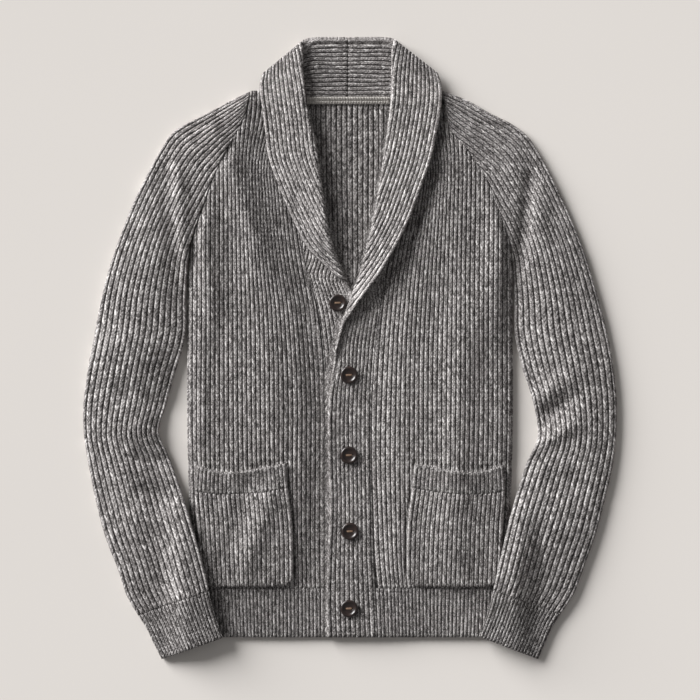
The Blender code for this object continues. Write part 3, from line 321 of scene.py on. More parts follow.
BAND_RIGHT = [
    BandRow(-34, y, 27, y, 27, y, 0, UNDER_LEVEL, UNDER_LEVEL, 0) for y in (HEM_Y, -300, -216, -138, -70)
] + table(BandRow, (
    (-35, -36, 26, -34, 26, -34, 0, 3.6, 3.6, 0),
    (-39, 12, 21, 24, 21, 24, 0, 3.6, 3.6, 0),
    (-46, 61, 9, 63, 9, 63, 0, 3.6, 3.6, 0),
    (-51, 80, 2.5, 77, 2.5, 77, 0, 3.6, 3.6, 9.6),
    (-54, 91, -2, 88, -3, 87, 90, 3.6, 3.6, 9.6),
    (-57, 102, -8, 99, -16, 95, 180, 3.6, 4.0, 9.8),
    (-62, 122, -17, 123, -39.2, 116, 180, 3.6, 4.6, 9.8),
    (-67.2, 145, -25, 145, -56.7, 134, 180, 3.6, 5.2, 9.8),
    (-73, 179.5, -31.7, 180, -77, 172, 180, 3.6, 5.4, 9.9),
    (-79.2, 218, -37.8, 220, -96, 217, 180, 3.6, 5.4, 10.0),
    (-92.6, 259, -44, 261, -110.7, 259, 180, 3.6, 5.4, 10.0),
    (-105.6, 296, -50.6, 297, -115, 294, 180, 3.6, 5.8, 10.2),
    (-109.5, 322, -58.2, 326, -118.4, 321, 180, 5.8, 8.4, 11.2),
    (-100, 337, -60, 341, -120.4, 334, 180, 9.8, 10.4, 11.2),
    (-81, 357, -62, 362, -121.5, 345, 180, 10.6, 10.6, 11.2),
    (-80, 379, -63.5, 386, -121.5, 357, 180, 10.6, 10.6, 11.0),
    (-77, 394, -63.2, 402, -119.6, 364, 180, 10.5, 10.5, 10.6),
    (-75, 404, -62, 415.5, -118.5, 369.5, 180, 9.4, 9.4, 9.6),
))


# Curves and small sums


def ease(share: Array | float) -> Array:
    """0 to 1 with level ends."""
    share = np.clip(share, 0.0, 1.0)
    return share * share * (3 - 2 * share)


def between(at: Array | float, start: float, end: float) -> Array:
    """How far `at` has come from start to end, eased, 0 before and 1 after."""
    return ease((at - start) / (end - start))


def curve(at: Array | float, knots: Sequence[float], values: Sequence[float], steady: bool = False) -> Array:
    """A smooth curve through values at the rising knots.

    Args:
        at: Where the curve is wanted.
        knots: Places of the values.
        values: What the curve passes through.
        steady: Whether it never passes beyond its values.

    Returns:
        The curve's value at each place.
    """
    knots, values = np.asarray(knots, float), np.asarray(values, float)
    at = np.clip(at, knots[0], knots[-1])
    width = np.diff(knots)
    slope = np.diff(values) / width
    tangent = np.concatenate([slope[:1], np.zeros(len(slope) - 1), slope[-1:]])
    if steady:
        product = slope[:-1] * slope[1:]
        total = np.where(product > 0, slope[:-1] + slope[1:], 1)
        tangent[1:-1] = np.where(product > 0, 2 * product / total, 0)
    else:
        tangent[1:-1] = (slope[:-1] * width[1:] + slope[1:] * width[:-1]) / (width[:-1] + width[1:])
    piece = np.clip(np.searchsorted(knots, at, side="right") - 1, 0, len(width) - 1)
    share = (at - knots[piece]) / width[piece]
    rest = 1 - share
    return (
        values[piece] * (1 + 2 * share) * rest**2
        + values[piece + 1] * (3 - 2 * share) * share**2
        + width[piece] * share * rest * (tangent[piece] * rest - tangent[piece + 1] * share)
    )


def column(rows: Sequence[Any], name: str) -> list[float]:
    """One named column of a table."""
    return [getattr(row, name) for row in rows]


class Side(Enum):
    """The wearer's right or left, as the sign of X."""

    RIGHT = -1
    LEFT = 1

    @property
    def word(self) -> str:
        """The name used in nodes and tables."""
        return self.name.lower()


def half_at(rows: Sequence[Any], y: Array | float, side: Side | None = None) -> Array:
    """Half width of a seam or of the body's side at a height."""
    return curve(y, column(rows, "y"), column(rows, "half" if side is None else side.word))


def height_at(rows: Sequence[Any], half: Array, side: Side) -> Array:
    """Height at which a seam reaches a half width."""
    y = np.linspace(rows[0].y, rows[-1].y, 400)
    reached = half_at(rows, y, side)
    order = np.argsort(reached)
    return np.interp(half, reached[order], y[order])


def plan_points(x: Array, y: Array, z: Array) -> Array:
    """Points from three arrays that broadcast to one grid."""
    return np.stack(np.broadcast_arrays(x, y, z), axis=-1)


def scatter(number: Array, seed: float) -> Array:
    """A fixed scatter between -1 and 1 for whole numbers."""
    return 2 * ((np.sin(number * 12.9898 + seed * 78.233) * 43758.5453) % 1.0) - 1


def drift(x: Array, y: Array) -> Array:
    """A slow sideways wander of the ribs, of up to 1 mm, in uneven waves."""
    return 0.55 * np.sin(x / 31 + 1.4 * np.sin(y / 83)) + 0.45 * np.sin(y / 47 + x / 19)


def bell(distance: Array, width: float) -> Array:
    """1 at no distance, falling off evenly on both sides."""
    return np.exp(-((distance / width) ** 2))


CREASE_START: Run = (-0.12, 0.15)  # of its length, over which a crease comes in
CREASE_END: Run = (-0.12, 0.4)


def crease_depth(x: Array, y: Array, creases: Sequence[Crease]) -> Array:
    """How far soft troughs sink at places of the plan."""
    total = np.zeros_like(x)
    for crease in creases:
        run_x, run_y = crease.x1 - crease.x0, crease.y1 - crease.y0
        length = math.hypot(run_x, run_y)
        along = ((x - crease.x0) * run_x + (y - crease.y0) * run_y) / length**2
        across = ((x - crease.x0) * run_y - (y - crease.y0) * run_x) / length
        fade = between(along, *CREASE_START) * between(1 - along, *CREASE_END)
        total += crease.depth * fade * bell(across, crease.width)
    return total


WAVE_HEIGHT = 0.28
SIDE_LOFT, SIDE_RUN = 4.6, (0.0, 22.0)  # how far a front bulges beside its side, and over what width
MIDDLE_LOFT, MIDDLE_RUN = 2.2, (10.0, 90.0)  # how much more it bulges further in
SLEEVE_HEAD_Y = ARMPIT_Y + 36.0  # height above which the bulge reaches on to the raglan seam
LOFT_FOOT: Run = (WELT_Y - 10, WELT_Y + 70)


def lie(x: Array, y: Array) -> Array:
    """How far a front stands off its plain level in its fuller middle and its folds."""
    wave = np.sin(x / 41 + 0.7 * np.sin(y / 90)) * np.sin(y / 66 + 0.9) + 0.5 * np.sin(y / 36 - x / 29)
    side = half_at(SIDE, y) - np.abs(x) + 0.8 * np.clip(y - SLEEVE_HEAD_Y, 0, None)
    full = SIDE_LOFT * between(side, *SIDE_RUN) + MIDDLE_LOFT * between(side, *MIDDLE_RUN)
    return WAVE_HEIGHT * (1.5 + wave) + full * between(y, *LOFT_FOOT) - crease_depth(x, y, FOLDS)


# Stitches

RIB_PLACES = {  # places of a rib's mesh columns, close together at the sides of its groove
    8: (0.0, 0.09, 0.19, 0.34, 0.5, 0.66, 0.81, 0.91),
    6: (0.0, 0.1, 0.26, 0.5, 0.74, 0.9),
}
UNEVEN_RIB, UNEVEN_STITCH = 0.06, 0.05  # how much ribs and stitches differ in height
RIB_EDGE = 0.9  # where a rib ends, of the way from its middle to the groove's
SPLIT_DEPTH, SPLIT_WIDTH = 0.45, 0.2  # of the line between a rib's two wales
ROW_STEP = 0.5  # from row to row of points, in stitches


def rib_columns(knit: Knit, count: int) -> Array:
    """Places of the mesh columns across a number of ribs, counted in ribs."""
    places = np.arange(count)[:, None] + np.array(RIB_PLACES[knit.columns])
    return np.append(places.ravel(), count)


def groove_share(ribs: Array) -> Array:
    """0 at the middle of a rib and 1 in the groove, for places counted in ribs."""
    return np.abs((np.asarray(ribs) % 1.0) * 2 - 1)


def raised(knit: Knit, ribs: Array, stitches: Array, seed: float = 1.0) -> Array:
    """Height of the knit's face above the plain wall.

    Args:
        knit: How it is knitted.
        ribs: Place across, counted in ribs.
        stitches: Place along, counted in stitches.
        seed: Which scatter makes its ribs uneven.

    Returns:
        Millimetres above the wall's plain face, below zero in a groove.
    """
    q = groove_share(ribs)
    rib = np.floor(ribs)
    course = np.floor(stitches - SLANT * q + 0.25)
    uneven = 1 + UNEVEN_RIB * scatter(rib, seed) + UNEVEN_STITCH * scatter(course * 0.37 + rib * 7.1, seed)
    arch = np.clip(1 - np.clip(q / RIB_EDGE, 0, 1) ** 3.0, 0, 1) ** 0.7
    leg = 0.5 - 0.5 * np.cos(2 * math.pi * (stitches - SLANT * q))
    split = SPLIT_DEPTH * bell(q, SPLIT_WIDTH)
    body = (knit.relief + knit.groove - knit.pillow * 0.6) * uneven * arch
    return body - knit.groove + knit.pillow * leg * arch - split


def courses(knit: Knit, ribs: Array, low: float, high: float) -> Array:
    """Places along, in stitches: two rows of points a stitch, which follow the slant of its legs."""
    rows = np.arange(math.floor(low) - 2, high + 1.5, ROW_STEP)
    return rows[:, None] + SLANT * groove_share(ribs)


def trimmed(places: Array, low: Array, high: Array, step: float) -> tuple[Array, Array]:
    """Cuts the columns of a grid to their ends.

    Args:
        places: Place of each point along its column, rising with the rows.
        low: Each column's lower end.
        high: Each column's upper end.
        step: Distance between rows; a point closer to an end than about a third of it moves onto the end.

    Returns:
        The places, and for each of them the row that stands for it.
    """
    low, high = np.broadcast_to(low, places.shape[1:]), np.broadcast_to(high, places.shape[1:])
    near = 0.35 * step
    places = np.where(places > high - near, high, places)
    places = np.where(places < low + near, low, places)
    first = np.maximum((places <= low).sum(0) - 1, 0)
    last = len(places) - np.maximum((places >= high).sum(0), 1)
    return places, np.clip(np.arange(len(places))[:, None], first, last)


# Shells


@dataclass
class Shell:
    """A closed shell between the points of two faces, with rows along and columns across.

    The inner face has only the kept columns. keep gives, for each point, the row that stands for it. A point
    of the faces' attribute is (ribs, stitches, 1 where ribs are raised).
    """

    name: str
    outer: Array
    inner: Array
    outer_knit: Array
    inner_knit: Array
    kept: list[int]
    keep: Array | None = None

    @staticmethod
    def grid(columns: int, start: int, keep: Array) -> Array:
        """Numbers of a face's points, with the cut ones standing for those beyond."""
        return start + keep * columns + np.arange(columns)

    @staticmethod
    def quads(at: Array, flip: bool) -> list[tuple[int, ...]]:
        """Faces of a grid of point numbers, without those that the cut closes up."""
        a, b, c, d = at[:-1, :-1].ravel(), at[:-1, 1:].ravel(), at[1:, 1:].ravel(), at[1:, :-1].ravel()
        whole = (a != d) & (b != c)
        near, far = (a == d) & (b != c), (a != d) & (b == c)
        faces = list(zip(a[whole].tolist(), b[whole].tolist(), c[whole].tolist(), d[whole].tolist()))
        faces += zip(a[near].tolist(), b[near].tolist(), c[near].tolist())
        faces += zip(a[far].tolist(), b[far].tolist(), d[far].tolist())
        return [face[::-1] for face in faces] if flip else faces

    def end_wall(self, outer: list[int], inner: list[int], flip: bool) -> list[tuple[int, ...]]:
        """Faces between a row of outer points and the inner points below some of them."""
        faces = []
        for pair, (first, last) in enumerate(zip(self.kept[:-1], self.kept[1:])):
            middle = (first + last + 1) // 2
            for at in range(first, last):
                faces.append((outer[at], outer[at + 1], inner[pair] if at < middle else inner[pair + 1]))
            faces.append((outer[middle], inner[pair + 1], inner[pair]))
        return [face[::-1] for face in faces] if flip else faces

    def mesh(self) -> Mesh:
        """The shell as a mesh in metres, with its knit attribute and smooth faces."""
        rows, columns = self.outer.shape[:2]
        keep = self.keep if self.keep is not None else np.repeat(np.arange(rows)[:, None], columns, 1)
        inner, inner_knit = self.inner[:, self.kept], self.inner_knit[:, self.kept]
        outer_at = self.grid(columns, 0, keep)
        inner_at = self.grid(len(self.kept), rows * columns, keep[:, self.kept])
        points = np.concatenate([self.outer.reshape(-1, 3), inner.reshape(-1, 3)])
        knit = np.concatenate([self.outer_knit.reshape(-1, 3), inner_knit.reshape(-1, 3)])
        faces = self.quads(outer_at, False) + self.quads(inner_at, True)
        for edge in (0, -1):
            rim = np.stack([outer_at[:, edge], inner_at[:, edge]], axis=1)
            faces += self.quads(rim, edge == 0)
            faces += self.end_wall(outer_at[edge].tolist(), inner_at[edge].tolist(), edge == 0)
        used = np.unique(np.concatenate([np.array(face) for face in faces]))
        renumber = np.zeros(len(points), int)
        renumber[used] = np.arange(len(used))
        renumber = renumber.tolist()
        faces = [[renumber[at] for at in face] for face in faces]
        return closed_mesh(self.name, points[used], faces, knit[used])

    def cut(self) -> tuple[float, float, float]:
        """Width, length and area of the flat cloth, without its ribs, in metres."""
        middle = (self.outer[:, self.kept] + self.inner[:, self.kept]) / 2 * MM
        whole = np.ones(middle.shape[:2], bool)
        if self.keep is not None:
            whole = self.keep[:, self.kept] == np.arange(len(middle))[:, None]
        across = np.linalg.norm(np.diff(middle, axis=1), axis=-1) * (whole[:, 1:] & whole[:, :-1])
        width, length = across.sum(1).max(), np.linalg.norm(np.diff(middle, axis=0), axis=-1).sum(0).max()
        diagonals = np.cross(middle[1:, 1:] - middle[:-1, :-1], middle[1:, :-1] - middle[:-1, 1:])
        area = np.linalg.norm(diagonals, axis=-1).sum() / 2
        return float(width), float(length), float(min(area, width * length))


def enclosed(mesh: Mesh) -> float:
    """Volume inside the faces, below zero where they face inward."""
    mesh.calc_loop_triangles()
    points = np.empty(len(mesh.vertices) * 3)
    mesh.vertices.foreach_get("co", points)
    corners = np.empty(len(mesh.loop_triangles) * 3, int)
    mesh.loop_triangles.foreach_get("vertices", corners)
    a, b, c = points.reshape(-1, 3)[corners.reshape(-1, 3)].transpose(1, 0, 2)
    return float(np.einsum("ij,ij->i", a, np.cross(b, c)).sum() / 6)


def closed_mesh(
    name: str, points: Array, faces: list[Sequence[int]], knit: Array | None = None
) -> Mesh:
    """Makes a smooth mesh in metres whose faces look outward.

    Args:
        name: The mesh's name.
        points: Its points in millimetres.
        faces: Numbers of the points of each face.
        knit: The knit attribute's points, where there is one.

    Returns:
        The mesh.
    """
    mesh = bpy.data.meshes.new(name)
    mesh.from_pydata((points * MM).tolist(), [], faces)
    if knit is not None:
        attribute = mesh.attributes.new(ATTRIBUTE, "FLOAT_VECTOR", "POINT")
        attribute.data.foreach_set("vector", knit.astype(np.float32).ravel())
    if enclosed(mesh) < 0:
        mesh.flip_normals()
    mesh.shade_smooth()
    return mesh


def knit_points(ribs: Array, stitches: Array, raised_share: Array | float) -> Array:
    """The attribute's points from ribs across, stitches along, and where the ribs are raised."""
    return plan_points(ribs, stitches, raised_share + 0 * ribs)


# Finishes


class Number:
    """A number's socket that Python's operators work on by adding Math nodes."""

    def __init__(self, shader: "Shader", socket: Socket) -> None:
        """Wraps a socket of that shader's tree."""
        self.shader, self.socket = shader, socket

    def __add__(self, other: "Number | float") -> "Number":
        """Sum."""
        return self.shader.math("ADD", self, other)

    __radd__ = __add__

    def __sub__(self, other: "Number | float") -> "Number":
        """Difference."""
        return self.shader.math("SUBTRACT", self, other)

    def __rsub__(self, other: float) -> "Number":
        """Difference from a plain number."""
        return self.shader.math("SUBTRACT", other, self)

    def __mul__(self, other: "Number | float") -> "Number":
        """Product."""
        return self.shader.math("MULTIPLY", self, other)

    __rmul__ = __mul__

    def __pow__(self, power: float) -> "Number":
        """Power."""
        return self.shader.math("POWER", self, power)

    def __abs__(self) -> "Number":
        """Size without its sign."""
        return self.shader.math("ABSOLUTE", self)


Input = Number | Socket | float | Sequence[float]


class Shader:
    """A material's node tree around its Principled shader."""

    def __init__(self, name: str) -> None:
        """Makes the material."""
        self.material = bpy.data.materials.new(name)
        self.material.use_nodes = True
        self.tree = self.material.node_tree
        self.surface = self.tree.nodes["Principled BSDF"]

    def feed(self, socket: Socket, value: Input) -> None:
        """Links a socket or sets it to a plain value."""
        value = value.socket if isinstance(value, Number) else value
        if isinstance(value, Socket):
            self.tree.links.new(value, socket)
        else:
            socket.default_value = value

    def node(
        self, kind: str, settings: dict[str, Any] | None = None, values: dict[str | int, Input] | None = None
    ) -> Node:
        """Adds a node.

        Args:
            kind: The node's type.
            settings: Its own settings, set first; "stops" gives a ramp's places and colours.
            values: Values or links of its sockets, by name or number.

        Returns:
            The node.
        """
        node = self.tree.nodes.new(kind)
        for name, setting in (settings or {}).items():
            if name == "stops":
                elements = node.color_ramp.elements
                while len(elements) < len(setting):
                    elements.new(0.5)
                for element, (place, colour) in zip(elements, setting):
                    element.position, element.color = place, (*colour, 1)
            else:
                setattr(node, name, setting)
        for name, value in (values or {}).items():
            self.feed(node.inputs[name], value)
        return node

    def math(self, operation: str, *values: Input) -> Number:
        """The result of a Math node."""
        node = self.node("ShaderNodeMath", {"operation": operation}, dict(enumerate(values)))
        return Number(self, node.outputs[0])

    def fraction(self, value: Number) -> Number:
        """What is left of a number above the whole number below it."""
        return self.math("FRACT", value)

    def smooth(self, value: Number, start: float, end: float) -> Number:
        """0 to 1 with level ends as a value goes from start to end."""
        settings = {"interpolation_type": "SMOOTHSTEP"}
        node = self.node("ShaderNodeMapRange", settings, {"Value": value, "From Min": start, "From Max": end})
        return Number(self, node.outputs["Result"])

    def vector(self, x: Input, y: Input, z: Input) -> Socket:
        """Three numbers as a vector."""
        return self.node("ShaderNodeCombineXYZ", None, {"X": x, "Y": y, "Z": z}).outputs["Vector"]

    def parts(self, vector: Socket) -> list[Number]:
        """A vector's three numbers."""
        node = self.node("ShaderNodeSeparateXYZ", None, {"Vector": vector})
        return [Number(self, output) for output in node.outputs]

    def place(self) -> Socket:
        """Where a point is, in metres."""
        return self.node("ShaderNodeTexCoord").outputs["Object"]

    def knit(self) -> list[Number]:
        """The knit attribute: places across and along, and where ribs are raised."""
        return self.parts(self.node("ShaderNodeAttribute", {"attribute_name": ATTRIBUTE}).outputs["Vector"])

    def noise(self, vector: Input, scale: float, detail: float = 2.0, roughness: float = 0.5) -> Number:
        """Soft noise about 0.5."""
        values = {"Vector": vector, "Scale": scale, "Detail": detail, "Roughness": roughness}
        return Number(self, self.node("ShaderNodeTexNoise", None, values).outputs["Fac"])

    def ramp(self, value: Number, stops: Stops) -> Socket:
        """A colour for each value."""
        return self.node("ShaderNodeValToRGB", {"stops": stops}, {"Fac": value}).outputs["Color"]

    def mix(self, share: Input, a: Input, b: Input, blend: str = "MIX") -> Socket:
        """Two colours mixed."""
        settings = {"data_type": "RGBA", "blend_type": blend, "clamp_factor": True}
        return self.node("ShaderNodeMix", settings, {0: share, 6: a, 7: b}).outputs[2]

    def bump(self, height: Number, distance: float, strength: float) -> None:
        """Gives the surface a bump of that height in metres."""
        values = {"Height": height, "Distance": distance, "Strength": strength}
        self.feed(self.surface.inputs["Normal"], self.node("ShaderNodeBump", None, values).outputs["Normal"])

    def finish(self, sockets: dict[str, Input]) -> Material:
        """Sets the surface's sockets and gives the material."""
        for name, value in sockets.items():
            self.feed(self.surface.inputs[name], value)
        return self.material


@dataclass(frozen=True)
class MarledWool:
    """Soft yarn twisted from dark and pale plies, knitted so that each stitch shows two slanting legs."""

    name: str
    shade: float = 1.0  # how light it is
    dark: Colour = (0.042, 0.039, 0.037)
    middle: Colour = (0.252, 0.233, 0.228)
    light: Colour = (0.72, 0.69, 0.675)
    contrast: float = 1.0
    stitch_tone: float = 0.34  # how much stitches, plies, flecks, patches and clouds differ in tone
    pale_tone: float = 0.2  # of the few stitches that are paler than the rest
    ply_tone: float = 1.1
    fleck_tone: float = 2.0
    patch_tone: float = 0.25
    cloud_tone: float = 0.16
    fleck_scale: float = 560.0
    patch_scale: float = 150.0
    cloud_scale: float = 16.0
    painted_groove_shade: Run = (0.68, 0.95)  # painted shade: where the groove is painted dark, from the middle of a rib
    low: float = 1.0  # painted shade: how light it is painted below the collar's break, of what it is above, so that the lapels stand lighter as if catching more light
    break_y: float = 0.06  # metres
    break_run: float = 0.03

    def material(self) -> Material:
        """Builds the yarn's nodes on the knit attribute, with painted shade in the grooves, at the ends of
        the legs and along each rib's split.
        """
        s = Shader(self.name)
        ribs, stitches, shown = s.knit()
        groove = abs(s.fraction(ribs) * 2 - 1)
        along = stitches - groove * SLANT
        within = s.fraction(along)
        wale = s.math("FLOOR", ribs * 2)
        leg = s.vector(wale, s.math("FLOOR", along), 0.5)
        chance = s.parts(s.node("ShaderNodeTexWhiteNoise", None, {"Vector": leg}).outputs["Color"])

        place = s.place()
        strand = s.vector(wale * 5.3, along * 3.6, groove * 1.1)
        ply = s.noise(strand, 1.0, 2.0, 0.6)
        fleck = s.noise(place, self.fleck_scale, 3.0, 0.7)
        patch = s.noise(place, self.patch_scale, 2.0, 0.6)
        cloud = s.noise(place, self.cloud_scale, 2.0)
        tone = (
            0.5
            + (chance[0] - 0.5) * (self.stitch_tone * self.contrast)
            + s.smooth(chance[1], 0.9, 0.96) * (self.pale_tone * self.contrast)
            + (ply - 0.5) * (self.ply_tone * self.contrast)
            + (fleck - 0.5) * (self.fleck_tone * self.contrast)
            + (patch - 0.5) * (self.patch_tone * self.contrast)
            + (cloud - 0.5) * self.cloud_tone
        )
        yarn = s.ramp(tone, ((0.12, self.dark), (0.5, self.middle), (0.9, self.light)))

        from_leg = abs(within * 2 - 1)
        # painted shade, multiplied into the yarn: darker in the grooves, at the ends of each leg where the
        # stitches meet, and along the split in the middle of each rib
        painted_groove_shade = s.smooth(groove, *self.painted_groove_shade) * shown
        depth = (1 - painted_groove_shade * 0.76) * (1 - from_leg**3.0 * 0.4) * (1 - s.smooth(groove, 0.22, 0.0) * 0.35)
        # painted shade: darker below the collar's break than on the lapels above, standing in for the light
        # that the lapels catch
        below = s.smooth(s.parts(place)[1], self.break_y + self.break_run, self.break_y - self.break_run)
        depth = depth * (1 - below * (1 - self.low)) * self.shade
        colour = s.mix(1.0, yarn, s.vector(depth, depth, depth), "MULTIPLY")

        height = (1 - from_leg**2.2) * 0.55 + fleck * 0.35 + ply * 0.4
        s.bump(height, 0.0012, 0.75)
        return s.finish({"Base Color": colour, "Roughness": 0.82 + fleck * 0.16, "Specular IOR Level": 0.18})


@dataclass(frozen=True)
class Tape:
    """Narrow woven tape in grey yarn, with slanting ridges that meet along its middle."""

    name: str = "neck_tape"
    stops: Stops = ((0.12, (0.1, 0.092, 0.085)), (0.5, (0.47, 0.44, 0.41)), (0.85, (1.0, 0.95, 0.9)))
    pitch: float = 2.4  # from ridge to ridge, along
    lean: float = 0.9  # how far a ridge runs along for each step across
    fleck_scale: float = 900.0

    def material(self) -> Material:
        """Builds the herringbone on the knit attribute, in millimetres across and along."""
        s = Shader(self.name)
        across, along, _ = s.knit()
        slant = abs(across) * self.lean + along
        ridge = s.math("SINE", slant * (2 * math.pi / self.pitch)) * 0.5 + 0.5
        fleck = s.noise(s.place(), self.fleck_scale, 3.0, 0.6)
        colour = s.ramp(ridge * 0.3 + fleck * 1.3 - 0.3, self.stops)
        s.bump(ridge * 0.7 + fleck * 0.3, 0.0006, 0.8)
        return s.finish({"Base Color": colour, "Roughness": 0.85 + fleck * 0.12, "Specular IOR Level": 0.2})


@dataclass(frozen=True)
class Horn:
    """Polished dark brown horn with faint redder streaks and small scratches."""

    name: str = "horn"
    stops: Stops = ((0.3, (0.006, 0.004, 0.0035)), (0.6, (0.02, 0.011, 0.009)), (0.85, (0.06, 0.032, 0.025)))
    streak_scale: float = 420.0
    cloud_scale: float = 130.0
    scratch_scale: float = 1500.0

    def material(self) -> Material:
        """Builds the streaks and the wear."""
        s = Shader(self.name)
        x, y, z = s.parts(s.place())
        streak = s.noise(s.vector(x * 0.35 + y * 0.2, y, z), self.streak_scale, 4.0, 0.6)
        cloud = s.noise(s.place(), self.cloud_scale, 2.0)
        colour = s.ramp(streak * 0.75 + cloud * 0.35, self.stops)
        scratch = s.noise(s.vector(x * 3, y * 0.4, z), self.scratch_scale, 2.0, 0.7)
        s.bump(scratch, 0.0002, 0.25)
        coat = {"Coat Weight": 0.35, "Coat Roughness": 0.16}
        return s.finish({"Base Color": colour, "Roughness": 0.26 + scratch * 0.16, **coat})


@dataclass(frozen=True)
class SewingThread:
    """Twisted waxed thread."""

    name: str = "button_thread"
    stops: Stops = ((0.2, (0.13, 0.075, 0.045)), (0.9, (0.36, 0.24, 0.16)))
    twist_scale: float = 7200.0
    fleck_scale: float = 1600.0

    def material(self) -> Material:
        """Builds its twist and its colour."""
        s = Shader(self.name)
        x, y, _ = s.parts(s.place())
        twist = s.math("SINE", (x + y * 1.6) * self.twist_scale) * 0.5 + 0.5
        fleck = s.noise(s.place(), self.fleck_scale, 2.0)
        colour = s.ramp(twist * 0.6 + fleck * 0.5, self.stops)
        s.bump(twist, 0.0003, 0.6)
        return s.finish({"Base Color": colour, "Roughness": 0.55 + fleck * 0.2})


@dataclass(frozen=True)
class Paper:
    """The pale plain surface that the cardigan lies on."""

    name: str = "floor"
    colour: Colour = (0.745, 0.708, 0.672)
    darkest: float = 0.97  # of that colour
    cloud_scale: float = 2.5

    def material(self) -> Material:
        """Builds a nearly even pale grey."""
        s = Shader(self.name)
        cloud = s.noise(s.place(), self.cloud_scale, 2.0)
        darker = tuple(part * self.darkest for part in self.colour)
        colour = s.mix(cloud, (*darker, 1), (*self.colour, 1))
        return s.finish({"Base Color": colour, "Roughness": 0.9, "Specular IOR Level": 0.1})


# Pieces


def link(name: str, mesh: Mesh, material: Material) -> Object:
    """Puts a mesh with its material in the scene."""
    mesh.materials.append(material)
    piece = bpy.data.objects.new(name, mesh)
    bpy.context.scene.collection.objects.link(piece)
    return piece


def stand_for(piece: Object, node: str) -> Object:
    """Rides a piece with the frame in place of one of its nodes, which it hides."""
    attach(piece, "root")
    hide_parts(node)
    return piece


def lay(shell: Shell, node: str, material: Material) -> Object:
    """Args:
        shell: The shell.
        node: The frame's node that it stands for.
        material: Its finish.

    Returns:
        The piece.
    """
    piece = stand_for(link(shell.name, shell.mesh(), material), node)
    width, length, area = shell.cut()
    sizes = (len(piece.data.polygons), width / MM, length / MM, area)
    log.info("%s: %d faces, cut %.0f x %.0f mm, %.4f m2", piece.name, *sizes)
    return piece


# Fronts and their welts


def band_line(side: Side) -> tuple[Array, Array]:
    """Half widths and rising heights of the seam between a band and its front, below the neck."""
    rows = BAND_LEFT if side is Side.LEFT else BAND_RIGHT
    knots = band_knots(rows)
    at = np.linspace(0, knots[-1], 400)
    x, y = curve(at, knots, column(rows, "seam_x")), curve(at, knots, column(rows, "seam_y"))
    below = y < NECK_SEAM_Y
    return np.abs(x[below]), y[below]


def band_knots(rows: Sequence[BandRow]) -> Array:
    """Distances of a band's rows along its middle."""
    x = (np.array(column(rows, "seam_x")) + column(rows, "roll_x")) / 2
    y = (np.array(column(rows, "seam_y")) + column(rows, "roll_y")) / 2
    return np.concatenate([[0], np.cumsum(np.hypot(np.diff(x), np.diff(y)))])


def front_edge(y: Array | float, side: Side) -> Array:
    """Half width of the seam at a front's edge, as the band has it."""
    half, line_y = band_line(side)
    return np.interp(y, line_y, half)


def raglan_height(half: Array, side: Side, gap: float = EDGE_GAP * 0.6) -> Array:
    """Height of the raglan seam at a half width, a gap inside it."""
    return height_at(RAGLAN, half + gap, side) - gap


def roll_x(rows: Sequence[BandRow], y: Array) -> Array:
    """X of a band's roll at a height."""
    return curve(y, column(rows, "roll_y"), column(rows, "roll_x"))


def pinch(distance: Array, depth: float = 0.9, width: float = 2.2) -> Array:
    """How far a seam draws the face down, at a distance from it."""
    return depth * bell(distance, width)


